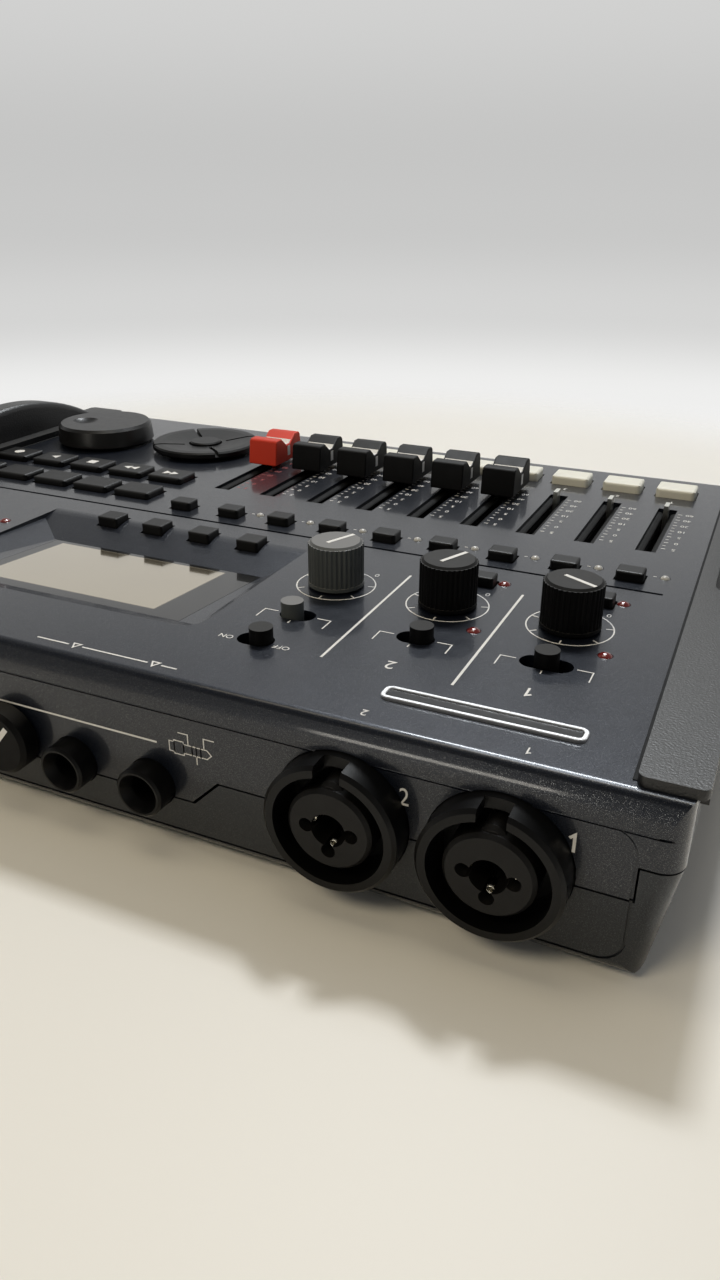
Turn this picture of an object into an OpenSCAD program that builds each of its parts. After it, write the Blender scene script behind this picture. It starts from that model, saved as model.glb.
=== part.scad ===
// Eight-track desktop recorder: faders, pads, jog dial, tilted display and rear jacks.
// Millimetres. +X is the user's right, +Y the jack side, +Z up. The feet stand on z = 0.

/* [Case] */
// Width across the side walls
case_w = 254; // [252:1:262]
// Depth from the rounded nose to the rear wall
case_d = 184; // [182:1:194]
// Height of the top panel above the table
top_h = 38; // [37.5:0.5:42]
// Thickness of the moulded walls
wall = 2.5; // [2:0.1:3]
// Radius of the upright corners
corner_r = 4; // [3.5:0.5:9]
// How far the rolled edge above the jacks reaches over the panel
roll_in = 3; // [2.6:0.1:4]
// How far the rolled edge reaches down the rear wall
roll_drop = 6.5; // [6:0.1:8]
// Radius of the rolled edge where it leaves the panel
roll_r = 2; // [1.5:0.1:2.2]
// Height of the line under the rolled edge
lip_line_h = 0.5; // [0.3:0.1:0.8]
// Depth of the line under the rolled edge
lip_line_depth = 0.5; // [0.3:0.1:0.8]
// Radius of the nose in front of the pads
nose_r = 6; // [4:0.5:8]
// How far the parting line lies below the top panel
seam_drop = 13; // [11:0.5:14]
// Width of the parting line
seam_gap = 0.4; // [0.2:0.05:0.5]
// How far each side draws in from the parting line to the floor
side_draft = 4; // [3:0.5:8]
// How far the front draws in from the parting line to the floor
chin = 9; // [4:0.5:10]
// Radius of the lower edges
heel_r = 3; // [2:0.5:4]

/* [Feet and screws] */
// Height of the rubber feet
foot_h = 1.8; // [1.2:0.1:3]
// Diameter of the rubber feet
foot_d = 12; // [8:0.5:16]
// Distance of the feet from the side walls
foot_inset = 24; // [21:1:36]
// Distance of the feet from the middle of the case, along
foot_y = 72; // [60:1:76]
// Diameter of the case screws
screw_d = 2.8; // [2.5:0.1:3.2]
// Diameter of a screw head
screw_head_d = 5.4; // [5:0.1:6]
// Height of a screw head
screw_head_h = 2; // [1.6:0.1:2.4]
// Diameter of the screw posts
post_d = 7; // [6.5:0.1:7.5]
// Distance of the screw posts from the side walls
post_inset = 13.5; // [13:0.5:15]
// Height at which the upper and lower screw posts meet
post_split_z = 14; // [12:0.5:16]

/* [Side rails] */
// How far the rails overhang the side walls
rail_overhang = 1.5; // [1:0.1:2.5]
// Thickness of the flat part of a rail
rail_t = 2; // [1.6:0.1:3]
// Radius of the corners of a rail
rail_corner_r = 1.5; // [1:0.1:2]
// Width of a rail at its rear end
rail_rear_w = 11; // [9:0.5:12]
// Width of a rail at its front end
rail_front_w = 14.5; // [12:0.5:15]
// Depth of the skirt that hooks over the side wall
rail_skirt = 3; // [2:0.5:6]
// Height of the arch above the top panel
arch_h = 13; // [10:0.5:15]
// Radius of the arch seen from the side
arch_r = 82; // [70:1:95]
// Width of the arch
arch_w = 9; // [7:0.5:10]
// Where the crest of the arch lies, along the case
arch_y = -38; // [-44:1:-34]
// Radius of the arch's long edges
arch_edge_r = 2; // [1:0.25:3]

/* [Faders] */
// Distance of the first fader from the left wall
fader_inset = 26.7; // [26:0.1:27.5]
// Distance from the master fader to the first wide key
fader_to_keys = 20.06; // [19.5:0.02:21]
// Middle of the fader slots, along
fader_y = -39.95; // [-42:0.05:-39]
// Travel of a fader
fader_travel = 30; // [26:1:31]
// Width of a fader slot
slot_w = 5.2; // [4:0.1:5.6]
// Length left over at each end of a slot
slot_end = 1.75; // [1:0.05:2]
// Width of a lever along its slot
lever_l = 4; // [3:0.1:5]
// Thickness of a lever
lever_t = 1.2; // [0.8:0.1:1.6]
// How far a bare lever stands above the panel
lever_up = 2.6; // [2:0.1:4]
// Width of a fader cap across its slot
cap_w = 10; // [8:0.1:10.6]
// Length of a fader cap along its slot
cap_l = 18; // [15:0.5:20]
// Height of a fader cap
cap_h = 8; // [7:0.1:10]
// Gap between a fader cap and the panel
cap_gap = 1.2; // [0.8:0.1:2]
// Depth of the saddle in a fader cap
cap_saddle = 2.6; // [1.5:0.1:3]
// Number of track faders from the left that carry no cap
bare_faders = 3; // [0:1:8]

/* [Knobs] */
// Diameter of the panel knobs
knob_d = 13.1; // [12:0.1:15]
// Height of the panel knobs
knob_h = 10.5; // [8:0.1:12]
// Gap between a knob and the panel
knob_gap = 0.5; // [0.4:0.1:1]
// Number of ribs round a knob
knob_ribs = 36; // [24:2:40]
// Depth of the ribs
rib_depth = 0.25; // [0.15:0.05:0.4]
// Distance of the first knob from the left wall
knob_inset = 33.1; // [32:0.1:35]
// Distance from the last knob to the display recess
knob_to_recess = 16.4; // [15:0.1:18]
// Where the knobs stand, along
knob_y = 32; // [31:0.5:34]
// Diameter of the control shafts
shaft_d = 6; // [5:0.1:6.4]
// Running clearance round a shaft
shaft_fit = 0.05; // [0.02:0.01:0.09]
// Diameter of the phones knob
phones_knob_d = 15; // [13:0.5:16]
// How far the phones knob stands out
phones_knob_h = 5; // [3.5:0.1:5.5]
// Diameter of the jog dial
dial_d = 33; // [30:0.5:34]
// Height of the jog dial
dial_h = 6.6; // [5:0.1:8]
// Distance of the jog dial from the right wall
dial_inset = 32.5; // [31.5:0.5:34]
// Where the jog dial stands, along
dial_y = -54; // [-56:0.5:-53]
// Diameter of the finger dimple
dimple_d = 9; // [7:0.5:11]

/* [Keys and pads] */
// Travel of a key
key_travel = 0.6; // [0.3:0.1:0.8]
// Gap round a key
key_gap = 0.3; // [0.25:0.05:0.5]
// How far the keys stand above the panel
key_up = 2.3; // [2:0.1:4]
// Width of a track key
track_key_w = 6.6; // [6:0.1:9]
// Depth of a track key
track_key_d = 5.2; // [4.5:0.1:6]
// Where the track keys stand, along
track_key_y = -1.5; // [-2:0.1:-1]
// Distance from one soft key to the next
soft_pitch = 14.7; // [14:0.1:15.5]
// Where the first soft key stands, across
soft_x = -7; // [-8:0.1:-6]
// Where the soft keys stand, along
soft_y = 16.5; // [16.3:0.1:17]
// Distance from one wide key to the next
wide_pitch = 15.3; // [15:0.05:15.6]
// Distance of the first wide key from the right wall
wide_inset = 81; // [80.5:0.1:82]
// Width of a wide key
wide_key_w = 12.6; // [12:0.1:14.4]
// How far the wide keys stand above the panel
wide_up = 1.8; // [1.4:0.1:3]
// Depth of a wide key
wide_key_d = 9.5; // [8:0.1:10.5]
// Row of wide keys nearest the display, along
mode_row_y = -7.2; // [-8:0.1:-6.5]
// Row of wide keys nearest the dial, along
transport_row_y = -24; // [-25:0.1:-23]
// Diameter of the cursor ring
cursor_d = 36; // [33:0.5:37]
// Height of the cursor ring above the panel
cursor_up = 3.2; // [2.8:0.1:4]
// Distance of the cursor ring from the right wall
cursor_inset = 71; // [70:0.5:72]
// Where the cursor ring stands, along
cursor_y = -59; // [-61:0.5:-58]
// Diameter of the enter key
enter_d = 10.4; // [9:0.1:11]
// Width of a pad
pad_w = 11.3; // [10:0.1:12.5]
// Depth of a pad
pad_d = 8.3; // [7:0.1:9]
// Height of a pad above the panel
pad_up = 2.6; // [2:0.1:3.5]
// Middle of the pads, along
pad_y = -74.2; // [-75:0.1:-73]

/* [Slide switches] */
// Diameter of a switch button
stub_d = 5; // [4:0.1:5.4]
// Height of a switch button above the panel
stub_up = 3.2; // [2.5:0.1:4]
// Gap round a switch button
stub_gap = 0.3; // [0.25:0.05:0.5]
// Step from one switch position to the next
switch_step = 2.6; // [2:0.1:3]
// Row of the source and metronome switches, along
switch_y = 51; // [50:0.5:51.5]
// Where the phantom switch stands, along
phantom_y = 65.5; // [65:0.5:66]

/* [Display] */
// Left edge of the display recess
recess_x0 = -22.5; // [-23:0.1:-22]
// Right edge of the display recess
recess_x1 = 58; // [57:0.5:58.5]
// Front edge of the display recess
recess_y0 = 14.5; // [14:0.1:15]
// Rear edge of the display recess
recess_y1 = 66.5; // [66:0.1:67.5]
// Depth of the recess at its rear
recess_rear = 0.8; // [0.6:0.1:1]
// Radius of the rear corners of the recess
recess_r = 5; // [3:0.5:7]
// Slope of the bank in front of the window, degrees
bank_slope = 15; // [14.5:0.5:18]
// Tilt of the side slopes, which leaves a step at their front ends, degrees
side_tilt = 1.4; // [0.8:0.1:1.8]
// Tilt of the display window, degrees
window_tilt = 4.17; // [3.5:0.1:4.6]
// Left edge of the window
window_x0 = -16.3; // [-16.5:0.1:-15]
// Width of the window
window_w = 63.3; // [60:0.1:63.5]
// Length of the window along its slope
window_l = 34.8; // [33:0.1:34.9]
// Thickness of the window
window_t = 1; // [0.8:0.1:1.2]
// Border left of the picture area
border_left = 8.8; // [8:0.1:9.5]
// Border right of the picture area
border_right = 3.2; // [3:0.1:4]
// Thickness of the tray under the window
tray_t = 1.1; // [1:0.1:1.3]

/* [Rear jacks] */
// How far the combination jacks stand out of the rear wall
jack_reach = 6; // [5.6:0.1:7]
// Outer diameter of a combination jack
combo_d = 26.4; // [24:0.2:26.8]
// Diameter inside the ring of a combination jack
combo_gap_d = 22; // [20:0.2:22.4]
// Diameter of the insert in a combination jack
insert_d = 16.6; // [15:0.2:17]
// Distance of the first combination jack from the left wall
combo_inset = 29.8; // [29.4:0.1:30]
// Distance between the combination jacks
combo_pitch = 29.6; // [28:0.1:30]
// Height of the combination jacks
combo_z = 19.2; // [19:0.1:20]
// Outer diameter of a line jack's bush
bush_d = 10.6; // [9.5:0.1:12]
// How far a bush stands out of the rear wall
bush_reach = 5; // [4:0.1:5.5]
// Diameter of the hole that takes a plug
plug_d = 6.4; // [6.35:0.01:6.5]
// Height of the line jacks
line_z = 14.2; // [14:0.1:15]
// Gap round a jack in the rear wall
jack_gap = 0.2; // [0.1:0.05:0.4]
// Height of the parting line at the combination jacks
combo_seam_z = 18.2; // [17:0.1:19]
// Height of the parting line at the line jacks
line_seam_z = 12.2; // [11:0.1:13]
// Distance of the rear insert panel from the left wall
rear_left = 7; // [6.5:0.5:14]
// Distance of the rear insert panel from the right wall
rear_right = 23; // [15:1:27]

/* [Boards and battery] */
// Thickness of a circuit board
board_t = 1.6; // [1.2:0.1:2]
// Room for parts between the panel and the control board
part_room = 7.5; // [7.4:0.1:8]
// Height of a fader body
fader_body_h = 7; // [6:0.1:7.2]
// Height of the jack board above the floor
jack_board_up = 1.7; // [1.2:0.1:2]
// Width of the battery door
door_w = 64; // [63:0.5:68]
// Length of the battery door
door_l = 60; // [58:0.5:64]
// Gap round the battery door
door_gap = 0.3; // [0.2:0.05:0.5]
// Middle of the battery bay, across
bay_x = 0; // [-5:0.5:5]
// Middle of the battery bay, along
bay_y = -20; // [-24:0.5:-18]
// Diameter of a battery cell
cell_d = 14.2; // [13.8:0.1:14.4]
// Length of a battery cell
cell_l = 50; // [49:0.1:50.5]

/* [Hidden] */
$fn = 64;
eps = 0.01;
through = 100;
seat_gap = 0.1;

rear_y = (case_d - jack_reach) / 2;
front_y = rear_y - case_d;
mid_y = (rear_y + front_y) / 2;
side_x = case_w / 2;
floor_top = foot_h + wall;
under_z = top_h - wall;
seam_z = top_h - seam_drop;
board_top = under_z - part_room;
jack_board_z = floor_top + jack_board_up;
jack_board_top = jack_board_z + board_t;
inner_rear_y = rear_y - wall;

roll_centre = [rear_y - roll_in, top_h - roll_r];
rail_rear_y = rear_y - roll_in;
rail_front_y = front_y + nose_r;
flank_r = (roll_in * roll_in + roll_drop * roll_drop - 2 * roll_drop * roll_r) / (2 * (roll_in - roll_r));
flank_centre = [rear_y - flank_r, top_h - roll_drop];
flank_turn = atan2(roll_centre[1] - flank_centre[1], roll_centre[0] - flank_centre[0]);

foot_x = side_x - foot_inset;
post_x = side_x - post_inset;
fader_x = -side_x + fader_inset;
knob_x = -side_x + knob_inset;
combo_x = -side_x + combo_inset;
dial_x = side_x - dial_inset;
wide_x = side_x - wide_inset;
cursor_x = side_x - cursor_inset;
rear_x0 = -side_x + rear_left;
rear_x1 = side_x - rear_right;

track_n = 8;
fader_n = track_n + 1;
fader_pitch = (wide_x - fader_to_keys - fader_x) / track_n;
knob_n = 3;
knob_pitch = (recess_x0 - knob_to_recess - knob_x) / (knob_n - 1);
slot_l = fader_travel + lever_l + 2 * slot_end;
lever_y = fader_y - fader_travel / 2;
function fader_at(i) = fader_x + i * fader_pitch;
function knob_at(i) = [knob_x + i * knob_pitch, knob_y];
function soft_at(i) = soft_x + i * soft_pitch;
function wide_at(i) = wide_x + i * wide_pitch;
soft_n = 4;
wide_n = 5;

flange = 1.2;
flange_t = 1.2;
key_root_z = under_z - key_gap - flange_t;
soft_root_drop = 2.2;
soft_root_z = key_root_z - soft_root_drop;
soft_up = 1.6;
switch_clear = key_travel + 0.3;

// Places of the input keys and lamps, measured from their gain knob
input_key_at = [-3.2, -15.4];
peak_led_at = [-9.7, 10.5];
record_led_at = [-8, -16.8];
lone_led = [recess_x1 + 5.7, 29.7];
status_led_at = [0.29 - fader_pitch / 2, -2.9];
status_led_d = 2.2;
status_led_up = 0.7;
peak_led_d = 2.9;
peak_led_up = 0.7;
led_gap = 0.15;

// Slide switches: place, number of positions, position at rest counted from the right
switch_spots = [
    [[knob_at(0)[0], switch_y], 3, 1],
    [[knob_at(1)[0], switch_y], 2, 1],
    [[knob_at(2)[0], switch_y], 2, 0],
    [[knob_at(2)[0] + 2, phantom_y], 2, 1]
];
switch_floor = 5;
power_x = side_x - 47;
power_z = 15;
usb_x = 56;
phones_jack_x = 33;
phones_knob_x = 10.5;
phones_knob_z = 16.5;
output_left_x = -25.5;
output_pitch = 19.3;
line_jack_xs = [output_left_x, output_left_x + output_pitch, phones_jack_x];

window_rear_y = recess_y1 - 3.2;
window_rear_z = top_h - recess_rear;
window_slope = tan(window_tilt);
function window_z(y) = window_rear_z + window_slope * (y - window_rear_y);
bank_y = window_rear_y - window_l * cos(window_tilt) - seat_gap;
bank_drop = top_h - window_z(bank_y);
bank_round = ((bank_y - recess_y0) * tan(bank_slope) - bank_drop) / (1 / cos(bank_slope) - 1);
bank_crest = [recess_y0 + bank_round * sin(bank_slope), top_h - bank_round * (1 - cos(bank_slope))];
right_slope = 4.2;
left_slope = 2.2;
slope_depth = 5;

post_ys = [62, 12, -76];
post_spots = [for (sx = [-1, 1], y = post_ys) [sx * post_x, y]];
boss_inset = 18;
boss_spots = [
    [-side_x + boss_inset, -40], [-side_x + boss_inset, 26], [knob_x + 1.5 * knob_pitch, 12],
    [wide_x - 11.5, 7], [cursor_x - 21, -62], [side_x - boss_inset, -37], [side_x - 45, 8]
];
boss_d = 5;
board_screw_d = 2;
board_screw_head_d = 4;
board_screw_head_h = 1.4;
screw_slot = 0.7;
screw_slot_depth = 1;

soft_key_w = 6.4;
soft_key_d = 6;
input_key_w = 6;
input_key_d = 4.5;
board_screw_l = 6.5;
combo_body_d = 17;
usb_w = 8.2;
usb_h = 4.4;
usb_l = 11;
usb_sink = 0.3;
usb_back = 2;
usb_wall = 0.5;
usb_mid_z = jack_board_top + usb_h / 2;
step_x0 = -41;
step_x1 = -35;
line_w = 0.5;
line_depth = 0.5;
faint_line_w = 0.25;
faint_line_depth = 0.15;
rear_line_r = 5;
rear_line_low = foot_h + 2.4;
rear_line_high = top_h - roll_drop;
border_front = 1.6;
border_rear = 3.6;
picture_gap = 0.3;
tray_margin = 3;
tray_front_y = recess_y0 - tray_margin;
tray_step_y = soft_y + soft_key_d / 2 + flange + 1;
foot_bevel = 0.5;
groove_y = 6;
groove_x0 = -side_x + 18;
groove_x1 = side_x - 15;
groove_w = 1;
groove_depth = 0.8;
screw_seat_z = foot_h + 2.4;
screw_l = 18;
door_t = 1.4;
door_r = 1;
door_ledge = 1.4;
grip_n = 5;
grip_pitch = 2;
grip_w = 18;
grip_d = 0.8;
grip_inset = 12;
bay_wall = 1.6;
bay_wall_h = 17;
cell_n = 4;
cell_pitch = cell_d + 0.8;
cell_z = foot_h + door_t + seat_gap + cell_d / 2;
cell_nub_d = 5.4;
cell_nub_l = 1.2;
contact_t = 0.6;
contact_w = 9;
contact_h = 11;
contact_low = 5;
contact_tab_w = 4;
contact_tab_h = 3;
contact_spring_d = 4;
jack_board_gap = 0.4;
jack_board_x0 = -side_x + 17.5;
jack_board_x1 = side_x - 26;
jack_board_d = 25.6;
jack_post_y = rear_y - jack_board_d + 1.6;
board_w = case_w - 22;
board_front_y = front_y + 11;
board_rear_y = inner_rear_y - seat_gap - combo_body_d - jack_board_gap;
lcd_t = 2.6;
lcd_margin = [2, 0.6];
combo_body_w = 25.6;
combo_floor = 9;
combo_hole_d = plug_d + 0.4;
combo_notch_w = 5.2;
combo_notch_depth = 4.5;
lobe_r = 4.4;
lobe_d = 2.8;
lobe_floor = 2;
latch_d = 4.6;
latch_at = 7.2;
latch_sink = 1;
combo_ring_l = jack_reach + wall + seat_gap + eps;
combo_bevel = 0.7;
combo_back = 2;
combo_floor_y = rear_y + jack_reach - combo_floor;
insert_sink = 0.5;
line_body_w = 12.6;
line_body_d = 21;
line_back = 3;
bush_bevel = 0.5;
bush_rim = 0.9;
bush_mouth = 2.4;
jack_post_xs = [
    (combo_x + combo_pitch + combo_body_w / 2 + output_left_x - line_body_w / 2) / 2,
    phones_jack_x + 11, jack_board_x1 - 4
];
card_w = 25;
card_h = 2.8;
card_y = 36;
card_z = board_top + 0.7;
card_d = 22;
card_wall = 1.4;
card_gap = 0.3;
card_back = 2;
fader_body_w = 9;
fader_body_l = slot_l + 7.5;
lever_gap = 0.4;
lever_root = 2.5;
lever_root_z = board_top + lever_root;
cap_lever_up = cap_gap + cap_h - cap_saddle - 2;
cap_lean = 0.9;
cap_bevel = 0.8;
cap_shoulder = 4.6;
saddle_flat = 2.2;
bushing_d = 8;
bushing_gap = 0.4;
control_body_w = 11;
control_body_h = 6.5;
bushing_top = top_h - 0.8;
phones_body_d = 9;
phones_crown = 1.2;
phones_bevel = 0.9;
shaft_root = 2;
shaft_root_z = board_top + shaft_root;
shaft_cover = 2.5;
rib_turns = [0.1, 0.4, 0.6, 0.9];
skirt_step = 0.1;
knob_skirt = 0.8;
knob_bevel = 0.5;
crown_d = knob_d - 2 * rib_depth - 4 * skirt_step;
dial_gap = 0.6;
dial_foot = 0.6;
dial_lean = 0.5;
dial_bevel = 0.9;
dimple_at = [6.3, 2.9];
dimple_depth = 1.2;
cursor_hub_d = 26;
hub_gap = 0.5;
cursor_rim_gap = 1;
cursor_well_gap = 0.5;
cursor_tilt_room = 0.7;
cursor_groove = 1.2;
cursor_groove_depth = 1.5;
cursor_bevel = 0.5;
cursor_rim_w = 3;
cursor_dish = 0.9;
cursor_switch_gap = 1;
enter_bevel = 0.4;
enter_root_z = under_z - cursor_tilt_room - 2 * flange_t - cursor_well_gap;
tact_w = 6;
tact_h = 3.4;
tact_stroke = 0.5;
tact_plunger_d = 3.4;
blade_w = 2.4;
blade_t = 1.4;
blade_gap = 0.3;
blade_root = 2;
switch_body_w = 7;
switch_body_end = 4;
stub_root_z = board_top + switch_floor + blade_gap;
power_w = 4;
power_h = 4;
power_up = 2;
power_body_w = 12;
power_body_d = 6;

// Flat outlines

module rounded_rect(w, d, r) {
    square([w - 2 * r, d], center = true);
    square([w, d - 2 * r], center = true);
    for (sx = [-1, 1], sy = [-1, 1])
        translate([sx * (w / 2 - r), sy * (d / 2 - r)]) circle(r);
}

module stadium(l, w) {
    square([l - w, w], center = true);
    for (sx = [-1, 1]) translate([sx * (l - w) / 2, 0]) circle(d = w);
}

// Upright rectangle on the axis with its two upper corners rounded
module loaf(w, h, r) {
    translate([-w / 2, 0]) square([w, h - r]);
    translate([-w / 2 + r, 0]) square([w - 2 * r, h]);
    for (sx = [-1, 1]) translate([sx * (w / 2 - r), h - r]) circle(r);
}

// Extrusions along X, centred, and along Y between two places
module along_x(length) {
    rotate([90, 0, 90]) linear_extrude(length, center = true) children();
}

module along_y(from, to) {
    translate([0, to, 0]) rotate([90, 0, 0]) linear_extrude(to - from) children();
}

module turned_along_y() {
    rotate([-90, 0, 0]) rotate_extrude() children();
}

// Rounded block standing on z = 0
module soft_block(w, d, h, r, top_r) {
    intersection() {
        linear_extrude(h) rounded_rect(w, d, r);
        along_x(w + 1) loaf(d, h, top_r);
        along_y(-d / 2 - 1, d / 2 + 1) loaf(w, h, top_r);
    }
}

// Case

module case_plan(inset) {
    translate([0, mid_y]) rounded_rect(case_w - 2 * inset, case_d - 2 * inset, corner_r - inset);
}

// Side view of the top case: a round nose, and a rolled edge of two arcs above the jacks
module top_profile(inset) {
    nose = [front_y + nose_r, top_h - nose_r];
    flank_top = flank_centre[1] + (flank_r - inset) * sin(flank_turn);
    translate([front_y + inset, 0]) square([roll_centre[0] - front_y - inset, nose[1]]);
    translate([nose[0], 0]) square([roll_centre[0] - nose[0], top_h - inset]);
    translate([nose[0], 0]) square([rear_y - inset - nose[0], flank_centre[1]]);
    translate(nose) circle(nose_r - inset);
    if (inset < roll_r) translate(roll_centre) circle(roll_r - inset);
    intersection() {
        translate(flank_centre) circle(flank_r - inset, $fn = 160);
        translate([roll_centre[0] - roll_in, 0]) square([2 * roll_in, min(flank_top, top_h - inset)]);
    }
}

// Half outline with a sloped wall and a rounded lower edge, mirrored by its caller
module sloped_half(reach, draft, inset) {
    lean = wall_lean(draft);
    r = heel_r;
    foot_in = reach - draft - inset / cos(lean) + inset * tan(lean);
    centre = foot_in + r * tan(lean) - r / cos(lean);
    low = foot_h + inset;
    top_in = reach - inset / cos(lean);
    heel = [centre + r * cos(lean), low + r - r * sin(lean)];
    polygon([[0, low], [centre, low], heel, [top_in, seam_z], [0, seam_z]]);
    translate([centre, low + r]) circle(r);
}

function wall_lean(draft) = atan2(draft, seam_z - foot_h);

// What the rounded corner between the right wall and a wall at the rear leaves over
module corner_waste(reach, draft, inset) {
    side = wall_lean(side_draft);
    back = wall_lean(draft);
    turn = 90 - asin(sin(side) * sin(back));
    far = 2 * corner_r;
    translate([side_x - corner_r / cos(side), reach - corner_r / cos(back), seam_z])
        rotate([-atan(tan(back) * cos(side)), side, 0]) translate([0, 0, -through / 2])
            linear_extrude(through) difference() {
                polygon([[0, 0], [far, 0], far * [1, 1], far * [cos(turn), sin(turn)]]);
                circle(corner_r - inset);
            }
}

module right_corners(inset) {
    corner_waste(rear_y, 0, inset);
    mirror([0, 1, 0]) corner_waste(-front_y, chin, inset);
}

module bottom_body(inset) {
    difference() {
        intersection() {
            along_y(front_y - 1, rear_y + 1) {
                sloped_half(side_x, side_draft, inset);
                mirror([1, 0]) sloped_half(side_x, side_draft, inset);
            }
            along_x(case_w + 2) translate([mid_y, 0]) {
                sloped_half(rear_y - mid_y, 0, inset);
                mirror([1, 0]) sloped_half(mid_y - front_y, chin, inset);
            }
        }
        right_corners(inset);
        mirror([1, 0, 0]) right_corners(inset);
    }
}

// The rear apron of the top case, which steps down to the middle of the jacks
module apron_outline(grow) {
    polygon([
        [rear_x0 - grow, seam_z + 1], [rear_x0 - grow, combo_seam_z - grow],
        [step_x0 - grow, combo_seam_z - grow], [step_x1 - grow, line_seam_z - grow],
        [rear_x1 + grow, line_seam_z - grow], [rear_x1 + grow, seam_z + 1]
    ]);
}

// Line that outlines the insert panel round the jacks: faint all round, deeper below the parting line
module outline_band(w) {
    size = [rear_x1 - rear_x0, rear_line_high - rear_line_low];
    translate([rear_x0 + size[0] / 2, rear_line_low + size[1] / 2]) difference() {
        rounded_rect(size[0], size[1], rear_line_r);
        rounded_rect(size[0] - 2 * w, size[1] - 2 * w, rear_line_r - w);
    }
}

module rear_outline() {
    along_y(rear_y - faint_line_depth, rear_y + 1) outline_band(faint_line_w);
    along_y(rear_y - line_depth, rear_y + 1) intersection() {
        outline_band(line_w);
        translate([-side_x, 0]) square([case_w, seam_z]);
    }
}

// Line that parts the rolled edge from the rear wall, and fades out at the corners
module lip_line() {
    translate([-side_x, rear_y - lip_line_depth, top_h - roll_drop - lip_line_h])
        cube([case_w, 2 * lip_line_depth, lip_line_h]);
}

module rear_holes() {
    for (i = [0, 1])
        translate([combo_x + i * combo_pitch, 0, combo_z])
            along_y(inner_rear_y - 1, rear_y + 1) circle(d = combo_d + 2 * jack_gap);
    for (x = line_jack_xs)
        translate([x, 0, line_z]) along_y(inner_rear_y - 1, rear_y + 1) circle(d = bush_d + 2 * jack_gap);
    translate([phones_knob_x, 0, phones_knob_z])
        along_y(inner_rear_y - 1, rear_y + 1) circle(d = shaft_d + 2);
    translate([usb_x, 0, usb_mid_z])
        along_y(inner_rear_y - 1, rear_y + 1) square([usb_w, usb_h] + [2, 2] * jack_gap, center = true);
    translate([power_x + switch_step / 2, 0, power_z])
        along_y(inner_rear_y - 1, rear_y + 1)
            square([power_w + switch_step + 2 * stub_gap, power_h + 2 * stub_gap], center = true);
}

// Hollow of the display: sloped sides and a rounded bank round a tilted floor
module recess_cut() {
    mid_x = (recess_x0 + recess_x1) / 2;
    w = recess_x1 - recess_x0;
    l = recess_y1 - recess_y0;
    intersection() {
        translate([mid_x, 0, 0]) along_x(w) difference() {
            polygon([[recess_y0, top_h + 1], [recess_y0, top_h], bank_crest, [bank_y, window_z(bank_y)],
                     [window_rear_y, window_rear_z], [recess_y1, top_h], [recess_y1, top_h + 1]]);
            translate([recess_y0, top_h - bank_round]) circle(bank_round, $fn = 200);
        }
        translate([0, recess_y1, top_h]) rotate([side_tilt, 0, 0]) along_y(-l - 1, 1)
            polygon([[recess_x0, slope_depth], [recess_x0, 0],
                     [recess_x0 + slope_depth * left_slope, -slope_depth],
                     [recess_x1 - slope_depth * right_slope, -slope_depth],
                     [recess_x1, 0], [recess_x1, slope_depth]]);
        translate([mid_x, recess_y0, top_h - through / 2]) linear_extrude(through) {
            translate([0, l / 2]) rounded_rect(w, l, recess_r);
            translate([-w / 2, 0]) square([w, l / 2]);
        }
    }
}

// Frame of the window: x across, y down the slope from its rear edge, z out of the glass
module on_window() {
    translate([0, window_rear_y, window_rear_z]) rotate([window_tilt, 0, 0]) children();
}

module window_plate(grow, low, high) {
    on_window() translate([window_x0 - grow, -window_l - grow, low])
        cube([window_w + 2 * grow, window_l + 2 * grow, high - low]);
}

// Block the size of the picture area, which the window leaves clear
module picture_block(inset, low, high) {
    on_window() translate([window_x0 + border_left + inset, -window_l + border_front + inset, low])
        cube([window_w - border_left - border_right - 2 * inset,
              window_l - border_front - border_rear - 2 * inset, high - low]);
}

module tray() {
    soft_under = soft_root_z + flange_t + key_gap;
    under = window_t + tray_t;
    translate([(recess_x0 + recess_x1) / 2, 0, 0]) along_x(recess_x1 - recess_x0 + 2 * tray_margin)
        polygon([[tray_front_y, under_z + eps], [tray_front_y, soft_under], [tray_step_y, soft_under],
                 [bank_y - 1, window_z(bank_y - 1) - under], [window_rear_y + 1, window_rear_z - under],
                 [recess_y1 + tray_margin, under_z + eps]]);
}

module key_hole(w, d) {
    translate([0, 0, under_z - through / 10]) linear_extrude(through)
        square([w, d] + [2, 2] * key_gap, center = true);
}

module lamp_hole(d) {
    translate([0, 0, under_z - 1]) cylinder(d = d + 2 * led_gap, h = through);
}

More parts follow.
